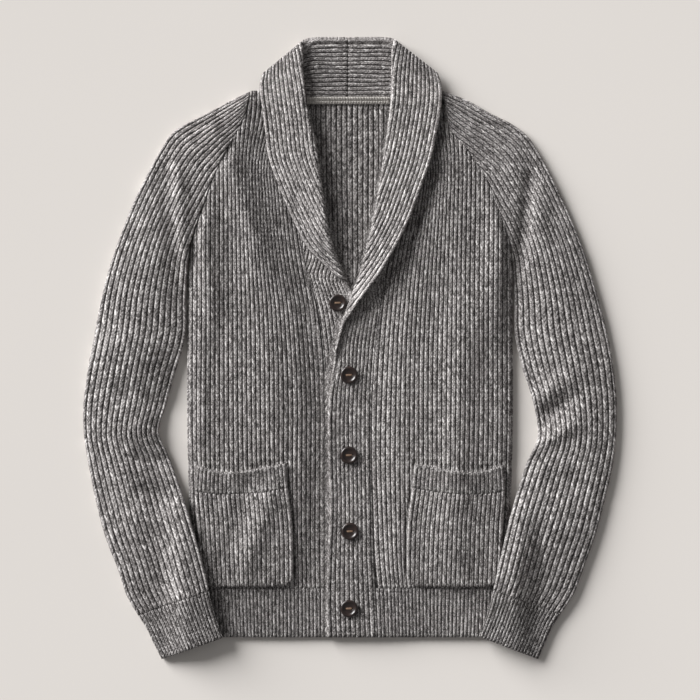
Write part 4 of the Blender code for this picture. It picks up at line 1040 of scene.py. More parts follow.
@dataclass
class Fronts:
    """The two fronts and their welts, whose sides come round to the surface they lie on."""

    body: Knit = BODY_KNIT
    welt: Knit = WELT_KNIT
    lean_share: float = 0.72  # how far the ribs beside a band's seam lean with it
    lean_width: float = 80.0
    lean_run: Run = (335.0, 225.0)
    overlap_run: Run = (40.0, 230.0)  # where the left front comes down from the buttonhole band's level
    welt_run: Run = (WELT_Y, WELT_Y + 45)
    edge_fade: Run = (0.0, 40.0)  # from a front's edge to where it has its folds
    sleeve_fade: Run = (0.0, 16.0)  # the same from the raglan seam
    hem_rise: float = 0.7  # of the welt, towards the seam above it
    hem_run: float = 16.0
    mouth_gap: float = 4.5  # from the pocket's mouth up to the middle of the dent above it
    mouth_dent: float = 2.0
    patch_gap: float = 1.4  # from the pocket's inner edge to the middle of the dent beside it
    patch_dent: float = 1.8

    def lean(self, half: Array, y: Array, side: Side) -> Array:
        """How far ribs stand out from where they run lower down, beside the seam above the buttons."""
        start = front_edge(FRONT_TOP_RUN, side)
        near = np.exp(-((np.clip(half - start, 0, None) / self.lean_width) ** 2))
        return self.lean_share * (front_edge(y, side) - start) * near * between(y, *self.lean_run)

    def top(self, half: Array, side: Side) -> Array:
        """Height of a front's upper end: the neckline, the shoulder strap or the raglan seam."""
        y = np.linspace(FRONT_TOP_RUN, STRAP_FOOT, 300)
        edge = front_edge(y, side) + EDGE_GAP
        neck = np.array([np.interp(0, edge - at - self.lean(at, y, side), y) for at in half]) - SEAM
        neck = np.where(half > STRAP_HALF, STRAP_Y, neck)
        return np.minimum(neck, raglan_height(half, side))

    def level(self, half: Array, y: Array, side: Side) -> Array:
        """Level of a front, with its welt."""
        edge = UNDER_LEVEL + 0 * y
        if side is Side.LEFT:
            edge = OVER_LEVEL + (UNDER_LEVEL - OVER_LEVEL) * between(y, *self.overlap_run)
        middle = WELT_LEVEL + (BODY_LEVEL - WELT_LEVEL) * between(y, *self.welt_run)
        inside = half - front_edge(y, side)
        from_sleeve = half_at(RAGLAN, np.maximum(y, ARMPIT_Y), side) - half
        x = side.value * half
        waves = lie(x, y) + crease_depth(x, y, FOLDS) * (1 - between(from_sleeve, *self.sleeve_fade))
        waves = waves * between(inside, *self.edge_fade) * between(y, HEM_Y, WELT_Y)
        return edge + (middle - edge) * between(inside, 0.0, LEVEL_RUN) + waves

    def dented(self, height: Array, half: Array, y: Array) -> Array:
        """A front's relief with its dents above the pocket's mouth and beside the patch."""
        mouth = Pockets.along(half, Pockets.mouth_top) + self.mouth_gap
        beside = between(half, 78.0, 88.0) * between(half, 214.0, 206.0)
        height = height - self.mouth_dent * beside * bell(y - mouth, 3.0)
        patch_edge = Pockets.along(y, Pockets.inner) - self.patch_gap
        beside = between(y, Pockets.foot_y, Pockets.foot_y + 20.0) * between(mouth - y, 0.0, 8.0)
        return height - pinch(half - patch_edge, self.patch_dent, 1.8) * beside

    def wall(self, name: str, side: Side, knit: Knit, top: float | None, foot: float) -> Shell:
        """One front, or one welt where its top is a height.

        Args:
            name: The shell's name.
            side: Which front.
            knit: How it is knitted.
            top: Height of its upper end, or None where neckline and raglan seam cut it.
            foot: Height of its lower end.

        Returns:
            The shell.
        """
        inner_radius = BODY_LEVEL
        radius = inner_radius + knit.wall
        wrap = radius * math.pi / 2
        edge_y = FRONT_TOP_RUN if top is None else min(FRONT_TOP_RUN, top)
        full = wrap + float(half_at(SIDE, edge_y) - radius - front_edge(edge_y, side) - SEAM)
        count = round(full / knit.pitch)
        ribs = rib_columns(knit, count)
        place = ribs / count
        bent = np.clip(place * full / radius, 0, math.pi / 2)
        start = half_at(SIDE, edge_y) - radius + radius * np.cos(bent) - np.clip(place * full - wrap, 0, None)
        upper = self.top(start, side) if top is None else np.full(len(place), top)
        grid = courses(knit, ribs, foot / knit.stitch, upper.max() / knit.stitch)
        y, keep = trimmed(grid * knit.stitch, foot, upper, knit.stitch * ROW_STEP)

        side_half = half_at(SIDE, y)
        along = place * (wrap + side_half - radius - front_edge(np.minimum(y, edge_y), side) - SEAM)
        turn = np.clip(along / radius, 0, math.pi / 2)
        flat = np.clip(along - wrap, 0, None)
        plan = side_half - radius - flat
        if top is None:
            plan = plan + self.lean(plan, y, side)
        rise = self.level(plan, y, side) - inner_radius
        if top is not None:
            rise = rise + self.hem_rise * between(y, top - self.hem_run, top)
        stitches = y / knit.stitch
        shown = between(turn, 0.1, 0.6)
        height = raised(knit, ribs, stitches, 3.0 + side.value) * shown
        at_top, at_foot = (0.6, 0.1) if top is None else (0.1, 0.9)
        height = height - pinch(upper - y, at_top) - pinch(y - foot, at_foot, 1.6)
        if top is None:
            height = self.dented(height, plan, y)
        sway = drift(side.value * start, y) * between(place, 0.06, 0.15) * between(1 - place, 0.0, 0.08)

        def face(reach: Array | float) -> Array:
            """Points at a distance from the wall's inner face."""
            half = plan + (inner_radius + reach) * np.cos(turn) + side.value * sway
            z = (inner_radius + reach) * np.sin(turn) + rise * ease(turn / (math.pi / 2))
            return plan_points(side.value * half, y, z)

        kept = sorted({*range(0, 4 * knit.columns, 2), *range(0, len(ribs), knit.columns), len(ribs) - 1})
        points = knit_points(ribs + 0 * y, stitches, 1.0)
        return Shell(name, face(knit.wall + height), face(0), points, points * (1, 1, 0), kept, keep)

    def build(self, wool: Material, rib: Material) -> None:
        """Makes both fronts and both welts."""
        for side in Side:
            node = f"front_{side.word}"
            shell = self.wall(f"{node}_knit", side, self.body, None, WELT_Y)
            lay(shell, node, wool)
            shell = self.wall(f"{node}_hem_knit", side, self.welt, WELT_Y, HEM_Y)
            lay(shell, f"{node}_hem", rib)


# Back and its welt


@dataclass
class Back:
    """The back and its welt, flat underneath, with inner ribs where the neck opening shows them."""

    body: Knit = BACK_KNIT
    welt: Knit = WELT_KNIT
    side_inset: float = 5.2  # from the body's side, where the front comes round it
    raglan_gap: float = 1.6
    rib_count: int = 10  # ribs raised on each side of the middle
    fine_from: float = 11.0  # in stitches, the lowest place that the neck opening shows
    coarse_step: float = 10.0
    plain: tuple[float, ...] = (84.0, 100.0, 113.0, 121.0, 133.0, 145.0, 160.0, 176.0, 190.0, 203.0, 212.0)
    side_from: float = 150.0  # half width from which columns follow the body's side
    neck_rise: float = 14.0  # how much higher than the neck seam the back reaches at the shoulders
    rise_run: Run = (113.0, 124.0)
    sway_share: float = 0.8
    hem_rows: int = 8
    hem_columns: int = 45

    def top(self, half: Array, side: Side) -> Array:
        """Height of the back's upper end at a half width."""
        neck = NECK_SEAM_Y - SEAM + self.neck_rise * between(half, *self.rise_run)
        return np.minimum(neck, raglan_height(half, side, self.raglan_gap))

    def wall(self) -> Shell:
        """The back's shell."""
        knit = self.body
        ribbed = (rib_columns(knit, 2 * self.rib_count + 1) - self.rib_count - 0.5) * knit.pitch
        plain = np.array(self.plain)
        x = np.concatenate([-plain[::-1], ribbed, plain])
        ribs = x / knit.pitch + 0.5
        half = np.abs(x)
        upper = np.where(x < 0, self.top(half, Side.RIGHT), self.top(half, Side.LEFT))
        foot = WELT_Y + SEAM
        fine = np.arange(self.fine_from, upper.max() / knit.stitch + 1.5, ROW_STEP)
        rows = np.concatenate([np.arange(foot / knit.stitch - 2, self.fine_from - 1, self.coarse_step), fine])
        slant = SLANT * groove_share(ribs) * (half < plain[0] - 1)
        y, keep = trimmed((rows[:, None] + slant) * knit.stitch, foot, upper, knit.stitch * ROW_STEP)
        inset = np.minimum(half, half_at(SIDE, y) - self.side_inset) / np.maximum(half, 1)
        inset = np.where(half > self.side_from, inset, 1)
        inside = np.minimum(roll_x(BAND_LEFT, y) - x, x - roll_x(BAND_RIGHT, y))
        shown = between(inside, 1.0, 8.0) * between(y / knit.stitch, self.fine_from, self.fine_from + 3)
        stitches = y / knit.stitch
        height = raised(knit, ribs, stitches, 5.0) * shown
        sway = self.sway_share * drift(x, y) * shown
        points = knit_points(ribs + 0 * y, stitches, shown)
        first, last = len(plain), len(x) - len(plain)
        kept = sorted({*range(first), *range(first, last, knit.columns), *range(last, len(x))})
        outer = plan_points(x * inset + sway, y, knit.wall + height)
        return Shell("back_knit", outer, plan_points(x * inset, y, 0), points, points * (1, 1, 0), kept, keep)

    def hem(self) -> Shell:
        """The shell of the back's welt."""
        knit = self.welt
        y = np.linspace(HEM_Y + SEAM, WELT_Y, self.hem_rows)[:, None]
        x = (half_at(SIDE, y) - self.side_inset) * np.linspace(-1, 1, self.hem_columns)
        points = knit_points(x / knit.pitch, y / knit.stitch + 0 * x, 0.0)
        outer = plan_points(x, y, knit.wall)
        columns = list(range(self.hem_columns))
        return Shell("back_hem_knit", outer, plan_points(x, y, 0), points, points, columns)

    def build(self, wool: Material, rib: Material) -> None:
        """Makes the back and its welt."""
        lay(self.wall(), "back", wool)
        lay(self.hem(), "back_hem", rib)


# Sleeves and cuffs


@dataclass
class Sleeves:
    """Both sleeves with their cuffs: tubes laid flat, with a fold outside and the underarm seam inside."""

    sleeve: Knit = SLEEVE_KNIT
    cuff: Knit = WELT_KNIT
    radius: float = 4.3  # of the folds, so half the thickness without ribs
    sleeve_loft: float = 9.5  # how much fuller the middle is
    lift_share: float = 1.28  # of the lifts in the table, over the fuller fronts
    seam_share: float = 0.7  # of the loft, kept up to the raglan seam
    cuff_loft: float = 0.6
    cuff_run: float = 80.0  # from the cuff's seam to where a sleeve is full
    crease_room: float = 2.0  # how much deeper than the loft a crease may go
    lift_run: Run = (48.0, 8.0)  # from the body's side, where a sleeve climbs onto it
    under_fold: tuple[float, ...] = (0.18, 0.36, 0.6, 0.8, 1.0, 1.25, 1.8, 3.8)  # in ribs
    under_seam: tuple[float, ...] = (1.0, 0.65, 0.3, 0.0)  # in ribs before the seam
    under_middle: int = 5  # columns between them

    def places(self, ribs: Array, knit: Knit) -> Array:
        """Places across, in ribs from the fold, below zero on the lower layer."""
        last = ribs[-1]
        upper = rib_columns(knit, round(last))
        middle = np.linspace(ribs[0] if ribs[0] < last else 4.6, last - 1.5, self.under_middle)
        lower = np.array([*self.under_fold, *middle, *(last - np.array(self.under_seam))])
        return np.concatenate([-lower[::-1], upper])

    def tube(
        self,
        name: str,
        side: Side,
        rows: Sequence[SleeveRow],
        knit: Knit,
        loft: float,
        creases: Sequence[Crease],
    ) -> Shell:
        """A sleeve or cuff: one wall from the lower seam round the fold to the upper seam.

        Args:
            name: The shell's name.
            side: Which sleeve.
            rows: Its sections, from the neck to the hand.
            knit: How it is knitted.
            loft: How much fuller its middle is.
            creases: Soft troughs in its upper layer.

        Returns:
            The shell.
        """
        radius, sign = self.radius, side.value
        inner_y = np.array(column(rows, "inner_y"), float)
        seam = sign * (half_at(RAGLAN, inner_y, side) + 2 * SEAM)
        inner_x = np.array([s if row.inner_x is None else row.inner_x for s, row in zip(seam, rows)], float)
        armpit = min((row.inner_y for row in rows if row.inner_x is None), default=math.inf)
        fold = np.array([column(rows, "fold_x"), column(rows, "fold_y")], float)
        middle = (fold + np.array([inner_x, inner_y])) / 2
        knots = np.concatenate([[0], np.cumsum(np.hypot(*np.diff(middle)))])
        ribs = np.array(column(rows, "ribs"))
        last = ribs[-1]
        place = self.places(ribs, knit)
        growing = 1 + int(np.argmax(ribs == last))
        start = np.interp(np.abs(place), ribs[:growing], knots[:growing])
        upper_slant = np.where(place >= 0, place, np.round(place))
        high = (knots[-1] - start) / knit.stitch
        stitches, keep = trimmed(courses(knit, upper_slant, 0, high.max()), 0.0, high, ROW_STEP)
        along = knots[-1] - stitches * knit.stitch

        def at(values: Sequence[float], steady: bool = True) -> Array:
            """A column of the table along the sleeve."""
            return curve(along, knots, values, steady)

        fold_x, fold_y, seam_y = at(fold[0], False), at(fold[1], False), at(inner_y, False)
        on_seam = sign * (half_at(RAGLAN, seam_y, side) + 2 * SEAM)
        seam_x = np.where(seam_y > armpit, on_seam, at(inner_x, False))
        across_x, across_y = seam_x - fold_x, seam_y - fold_y
        width = np.hypot(across_x, across_y)
        close = at(column(rows, "curl")) * math.pi / 2
        straight = width - radius - radius * np.sin(close)
        fold_run = radius * math.pi / 2
        run = (fold_run + straight + radius * close) * np.minimum(np.abs(place) / at(ribs), 1)
        layer = np.where(place >= 0, 1.0, -1.0)
        turn = np.clip(run / radius, 0, math.pi / 2)
        end = np.clip((run - fold_run - straight) / radius, 0, math.pi / 2)
        flat = np.clip(run - fold_run, 0, straight)
        share = (radius * (1 - np.cos(turn)) + flat) / width
        level_x = np.abs(fold_x + across_x * share) - half_at(SIDE, fold_y + across_y * share)
        lift = self.lift_share * at(column(rows, "lift")) * between(level_x, *self.lift_run)
        from_cuff = between(knots[-1] - along, 0.0, self.cuff_run)
        full = (self.cuff_loft + (loft - self.cuff_loft) * from_cuff) * (layer > 0)
        dome = np.sin(math.pi * np.clip(share, 0, 1)) ** 0.9
        slope = self.seam_share * between(share, 0.0, 0.55)
        full = full * (slope + (dome - slope) * at(column(rows, "curl"))) * between(turn, 0, math.pi / 2)
        shown = np.where(layer > 0, 1, 0) * between(turn, 0.1, 0.9) * between(end, math.pi / 2, 0.6)
        height = raised(knit, np.abs(place), stitches, 7.0 + sign) * shown
        drawn = 0.6 if growing > 1 else 0.15
        seams = pinch((high - stitches) * knit.stitch, drawn) + pinch(stitches * knit.stitch, 0.15, 1.6)
        height = height - seams * shown
        sway = drift(fold_x + across_x * share, fold_y + across_y * share) * shown
        sway = sway * between(turn, 1.2, math.pi / 2)

        def face(reach: Array | float) -> Array:
            """Points at a distance from the middle of the fold's round."""
            across = radius - reach * np.cos(turn) + flat + reach * np.sin(end) + sway
            z = radius + layer * reach * np.sin(turn) * np.cos(end)
            x = fold_x + across_x / width * across
            y = fold_y + across_y / width * across
            sink = np.minimum(crease_depth(x, y, creases), full + self.crease_room) * (layer > 0)
            return plan_points(x, y, z + lift + full - sink * np.sin(turn) * np.cos(end))

        outer, inner = face(radius + height), face(radius - knit.wall)
        parted = (np.abs(place) == last) * at(column(rows, "curl"))
        for points in (outer, inner):
            points[..., 2] += layer * parted * SEAM / 2
        ribs_at = knit_points(np.abs(place) + 0 * along, stitches, shown)
        fold_column = int(np.argmax(place == 0))
        kept = {*range(fold_column + knit.columns), *range(fold_column, len(place), knit.columns)}
        kept |= {*range(len(place) - knit.columns, len(place), 2), len(place) - 1}
        return Shell(name, outer, inner, ribs_at, ribs_at * (1, 1, 0), sorted(kept), keep)

    def build(self, wool: Material, rib: Material) -> None:
        """Makes both sleeves and both cuffs."""
        parts = (
            (Side.RIGHT, SLEEVE_RIGHT, CUFF_RIGHT, CREASES_RIGHT),
            (Side.LEFT, SLEEVE_LEFT, CUFF_LEFT, CREASES_LEFT),
        )
        for side, rows, cuff_rows, creases in parts:
            node = f"sleeve_{side.word}"
            shell = self.tube(f"{node}_knit", side, rows, self.sleeve, self.sleeve_loft, creases)
            lay(shell, node, wool)
            node = f"cuff_{side.word}"
            shell = self.tube(f"{node}_knit", side, cuff_rows, self.cuff, self.cuff_loft, [])
            lay(shell, node, rib)


# Front bands with the front of the collar


@dataclass
class BandSection:
    """A band's form at places along it."""

    roll: tuple[Array, Array]
    to_seam: tuple[Array, Array]  # from the roll, in the plan
    to_edge: tuple[Array, Array]
    turned: Array  # radians turned over at the roll
    reach: Array  # from the roll to where the flat part begins
    fall: Array  # widths of the fall, the bend and the flat part
    bend: Array
    flat: Array
    count: Array  # ribs on all three


@dataclass
class Bands:
    """The two front bands, flat where they button and turned over into the collar above.

    A pair named lift is of the right and of the left band. A run is counted along a band from its foot, or,
    where its name says end, back from its end at the shoulder.
    """

    knit: Knit = BAND_KNIT
    placket_ribs: float = 10.5  # across the band where it is flat
    fold_radius: float = (FOLD_HEIGHT - BAND_KNIT.wall) / 2  # of the middle of the wall at the roll
    under_spread: float = 46.0  # least width that the ribs under a lapel are spread over
    roll_lift: tuple[float, float] = (11.5, 4.0)  # of a roll, over a pressed one
    roll_run: Run = (470.0, 570.0)
    roll_end: Run = (0.0, 130.0)
    edge_lift: tuple[float, float] = (0.5, 12.0)  # of a lapel's free edge, off the front
    edge_run: Run = (385.0, 490.0)
    edge_end: Run = (15.0, 120.0)
    fall_from: Run = (2.4, 3.1)  # radians of turn over which a lapel comes down onto the front
    bead: float = 1.2  # of the rounded free edge
    bead_place: float = 3.4
    bead_width: float = 2.4

    def section(self, rows: Sequence[BandRow], along: Array) -> BandSection:
        """A band's form.

        Args:
            rows: The band's sections, from the hem up.
            along: Distances along the band.

        Returns:
            The form at each distance.
        """
        knots = band_knots(rows)

        def at(name: str, steady: bool = False) -> Array:
            """A column of the table along the band."""
            return curve(along, knots, column(rows, name), steady)

        roll = (at("roll_x"), at("roll_y"))
        to_seam = (at("seam_x") - roll[0], at("seam_y") - roll[1])
        to_edge = (at("edge_x") - roll[0], at("edge_y") - roll[1])
        turned = np.radians(np.clip(at("turn", True), 0, 180))
        outer_radius = self.fold_radius + self.knit.wall / 2
        fall = np.where(turned > 0.02, np.clip(np.hypot(*to_edge) - outer_radius, 0.01, None), 0.0)
        reach = outer_radius * np.sin(np.minimum(turned, math.pi / 2))
        flat = np.hypot(*to_seam) - reach
        bend = self.fold_radius * turned
        spread = np.where(turned > 0.3, np.maximum(flat, self.under_spread), 0.0)
        count = np.maximum((fall + bend + spread) / self.knit.pitch, self.placket_ribs)
        return BandSection(roll, to_seam, to_edge, turned, reach, fall, bend, flat, count)

    def spread(self, ribs: Array, band: BandSection, count: Array) -> Array:
        """Distances from the free edge of places counted in ribs."""
        over = (band.fall + band.bend) / self.knit.pitch
        share = np.clip((ribs - over) / np.maximum(count - over, 1e-6), 0, 1)
        return np.where(ribs < over, ribs * self.knit.pitch, band.fall + band.bend + share * band.flat)

    def wall(self, name: str, rows: Sequence[BandRow], covered: Callable[[Array, Array], Array]) -> Shell:
        """A band from hem to shoulder.

        Args:
            name: The shell's name.
            rows: Its sections, from the hem up.
            covered: Share of the ribs raised on its flat part at places of the plan.

        Returns:
            The shell.
        """
        knit, radius = self.knit, self.fold_radius
        knots = band_knots(rows)
        steps = np.linspace(0, knots[-1], 500)
        count = np.maximum.accumulate(self.section(rows, steps).count)
        ribs = rib_columns(knit, math.ceil(count[-1]))
        ribs = np.append(ribs[ribs < count[-1] - 0.1], count[-1])
        low = np.where(ribs <= count[0], 0.0, np.interp(ribs, count, steps)) / knit.stitch
        high = knots[-1] / knit.stitch
        stitches, keep = trimmed(courses(knit, ribs, 0, high), low, high, ROW_STEP)
        along = stitches * knit.stitch
        from_end = knots[-1] - along

        band = self.section(rows, along)
        roll, turned, reach = band.roll, band.turned, band.reach
        fall, bend, flat = band.fall, band.bend, band.flat
        flat_x, flat_y = (part / np.hypot(*band.to_seam) for part in band.to_seam)
        fall_width = np.hypot(*band.to_edge)
        fall_x, fall_y = (
            np.where(fall_width > 1.0, part / np.maximum(fall_width, 1e-6), other)
            for part, other in zip(band.to_edge, (flat_x, flat_y))
        )
        run = self.spread(ribs, band, np.interp(along, steps, count))
        on_fall = np.clip(fall - run, 0, None)
        angle = np.clip((fall + bend - run) / radius, 0, turned)
        on_flat = np.clip(run - fall - bend, 0, None)

        roll_level, seam_level, edge_level = (
            curve(along, knots, column(rows, f"{part}_level"), True) for part in ("roll", "seam", "edge")
        )
        raised_roll = between(along, *self.roll_run) * between(from_end, *self.roll_end)
        roll_level = roll_level + self.roll_lift[rows is BAND_LEFT] * raised_roll
        base = roll_level + (seam_level - roll_level) * ease(on_flat / flat)
        lift = self.edge_lift[rows is BAND_LEFT] * between(along, *self.edge_run)
        lift = lift * between(from_end, *self.edge_end)
        droop = (roll_level + FOLD_HEIGHT - knit.wall - edge_level - lift) * between(turned, *self.fall_from)
        droop = droop * np.where(fall > 1, on_fall / np.maximum(fall, 1), 0)
        quarter = np.minimum(angle, math.pi / 2)
        over = np.clip(angle - math.pi / 2, 0, None)
        open_flat = np.where(turned < 0.3, 1.0, 1 - between(fall - on_flat, -6.0, -2.0))

        def face(off: Array | float) -> Array:
            """Points at a distance from the middle of the wall."""
            r = radius - off
            out = reach - r * np.sin(quarter)
            x = roll[0] + flat_x * (out + on_flat)
            y = roll[1] + flat_y * (out + on_flat)
            back = reach - r * np.cos(over)
            x = np.where(angle > math.pi / 2, roll[0] + fall_x * (back + on_fall), x)
            y = np.where(angle > math.pi / 2, roll[1] + fall_y * (back + on_fall), y)
            return plan_points(x, y, base + knit.wall / 2 + radius - r * np.cos(angle) - droop)

        half_wall = knit.wall / 2
        plain = face(half_wall)
        shown_flat = open_flat * covered(plain[..., 0], plain[..., 1]) * between(on_flat, 0.0, 1.5)
        shown_fall = between(angle, 1.3, 2.2)
        height = raised(knit, ribs, stitches, 11.0) + self.bead * bell(run - self.bead_place, self.bead_width)
        foot = pinch(stitches * knit.stitch, 1.0, 1.6)
        rim = pinch(np.minimum(run, fall + bend + flat - run), 0.3, 2.0)
        rim = rim + pinch(flat - on_flat, 2.6, 1.5) * (turned < 0.1)
        upper = face(half_wall + height * shown_flat - foot - rim * shown_flat)
        lower = face(-half_wall - height * shown_fall + rim * shown_fall)
        over_points = knit_points(ribs + 0 * along, stitches, shown_flat)
        under_points = knit_points(ribs + 0 * along, stitches, shown_fall)
        return Shell(name, upper, lower, over_points, under_points, list(range(len(ribs))), keep)

    def build(self, rib: Material) -> None:
        """Makes the button band and the buttonhole band over it."""

        def clear(x: Array, y: Array) -> Array:
            """1 where the buttonhole band doesn't lie on the button band."""
            return between(roll_x(BAND_LEFT, y) - x, 6.5, 10.0)

        lay(self.wall("band_right_knit", BAND_RIGHT, clear), "band_right", rib)
        shell = self.wall("band_left_knit", BAND_LEFT, lambda x, y: 1.0 + 0 * x)
        lay(shell, "band_left", rib)


# Collar behind the neck


@dataclass
class CollarBack:
    """The collar behind the neck, in two halves: a fall on the surface, and the stand turned over it."""

    knit: Knit = STAND_KNIT
    seam_x: float = -2.7  # centre back, where the halves meet
    radius: float = 4.3
    fall_y: float = 342.0
    top: Table = (  # its height at each half width
        (0.0, COLLAR_TOP_Y), (44.0, COLLAR_TOP_Y), (53.0, COLLAR_TOP_Y - 0.6), (59.0, COLLAR_TOP_Y - 2.2),
        (64.0, 414.0), (70.0, 408.5), (78.0, 400.0), (94.0, 384.0), (112.0, 367.0),
    )
    ramp: Run = (343.0, 330.5)  # heights over which the stand comes down to the neck seam
    foot_level: float = 1.6
    foot_fade: Run = (0.84, 0.9)  # of the stand, over which its ribs run out under the tape
    rim_drop: float = 9.0  # how far the rolled rim comes down at the corners of the opening
    rim_from: float = 44.0  # half width where that begins
    rim_run: float = 14.0
    fine_columns: int = 12  # of the inner face, at the neck seam
    fall_steps: int = 6
    fold_steps: int = 10

    def half(self, name: str, side: Side) -> Shell:
        """One half's shell."""
        knit, radius, sign = self.knit, self.radius, side.value
        ribs_up = round((COLLAR_TOP_Y - NECK_SEAM_Y) / knit.pitch)
        share_fall = np.linspace(1, 0, self.fall_steps + 1)[:-1]
        share_turn = np.linspace(0, 1, self.fold_steps + 1)[:-1]
        ribs = rib_columns(knit, ribs_up)
        none = np.zeros(len(share_fall) + len(share_turn))
        ribs_at = np.concatenate([none, ribs])  # the fall and the turn are plain
        end_half = self.top[-1][0]
        seam_half = sign * self.seam_x + SEAM
        high = (end_half - seam_half) / knit.stitch
        stitches, keep = trimmed(courses(knit, ribs_at, 0, high), 0.0, high, ROW_STEP)
        half = end_half - stitches * knit.stitch
        top = np.interp(half, *zip(*self.top))
        stand = top - radius - (NECK_SEAM_Y + SEAM)
        fall = np.clip(top - radius - self.fall_y, 8.0, None)
        on_fall = fall * np.concatenate([share_fall, 0 * share_turn, 0 * ribs])
        turn = math.pi * np.concatenate([0 * share_fall, share_turn, 1 + 0 * ribs])
        on_stand = stand * np.concatenate([none, ribs / ribs_up])
        fade = 1 - between(on_stand / stand, *self.foot_fade)
        wander = 0.5 * np.sin(half / 11 + on_stand / 7 + sign) * between(on_stand, 4.0, 12.0)
        wander = wander * fade * between(half, end_half, 50.0)
        rim = on_stand - self.rim_drop * np.clip((half - self.rim_from) / self.rim_run, 0, 1) ** 2
        shown = np.concatenate([none, 1 + 0 * ribs]) * fade * between(rim, 3.6, 6.6)

        def face(reach: Array | float) -> Array:
            """Points at a distance from the middle of the turn."""
            y = top - radius + reach * np.sin(turn) - on_fall - on_stand + wander
            z = radius - reach * np.cos(turn)
            foot = between(y, *self.ramp) * (on_stand > 0)
            z = z - foot * (radius * 2 - knit.wall - self.foot_level)
            return plan_points(sign * half, y, z)

        height = raised(knit, ribs_at + 0 * half, stitches, 13.0) * shown
        height = height - pinch((high - stitches) * knit.stitch, 0.6)
        height = height + (1.6 * bell(rim - 0.6, 3.2) - 1.5 * bell(rim - 5.0, 1.3)) * (on_stand > 0)
        points = knit_points(ribs_at + 0 * half, stitches, shown)
        folded, last = len(none), len(turn)
        fine = range(last - self.fine_columns, last)
        kept = sorted({*range(folded + 1), *range(folded, last, knit.columns), *fine})
        inner = face(radius - knit.wall)
        return Shell(name, face(radius + height), inner, points, points * (1, 1, 0), kept, keep)

    def build(self, rib: Material) -> None:
        """Makes both halves."""
        for side in Side:
            node = f"collar_back_{side.word}"
            lay(self.half(f"{node}_knit", side), node, rib)


@dataclass
class NeckTape:
    """The strip sewn over the neck seam."""

    x: Run = (-58.2, 53.2)
    y: Run = (338.5, 328.6)
    level: Run = (9.6, 5.5)
    thickness: float = 1.8
    edge: float = 0.6  # how much thinner it is at its edges
    groove: float = 0.9  # depth of the groove along its middle
    link: float = 3.6  # length of one of its slanting links
    link_height: float = 1.1
    columns: int = 25
    rows: int = 260

    def build(self, finish: Material) -> None:
        """Makes the tape."""
        across = np.linspace(-1, 1, self.columns)
        x = np.linspace(*self.x, self.rows)[:, None]
        share = 1 - (1 - across) / 2
        y = self.y[0] + (self.y[1] - self.y[0]) * share
        level = self.level[0] + (self.level[1] - self.level[0]) * share
        drop = self.edge * np.clip(np.abs(across) - 0.8, 0, 1) / 0.2 + self.groove * bell(across, 0.14)
        links = 0.5 + 0.5 * np.sin(2 * math.pi * (x / self.link + 0.5 * np.abs(across)))
        bulge = np.sqrt(np.sin(math.pi * np.abs(across)).clip(0))
        wave = self.link_height * links * bulge + 0.3 * np.sin(x / 9.0)
        width = abs(self.y[1] - self.y[0])
        points = knit_points(across * width / 2 + 0 * x, x + 0 * across, 1.0)
        outer = plan_points(x, y, level + self.thickness - drop + wave)
        inner = plan_points(x, y, level)
        shell = Shell("neck_tape_strip", outer, inner, points, points, list(range(self.columns)))
        lay(shell, "neck_tape", finish)


# Pockets


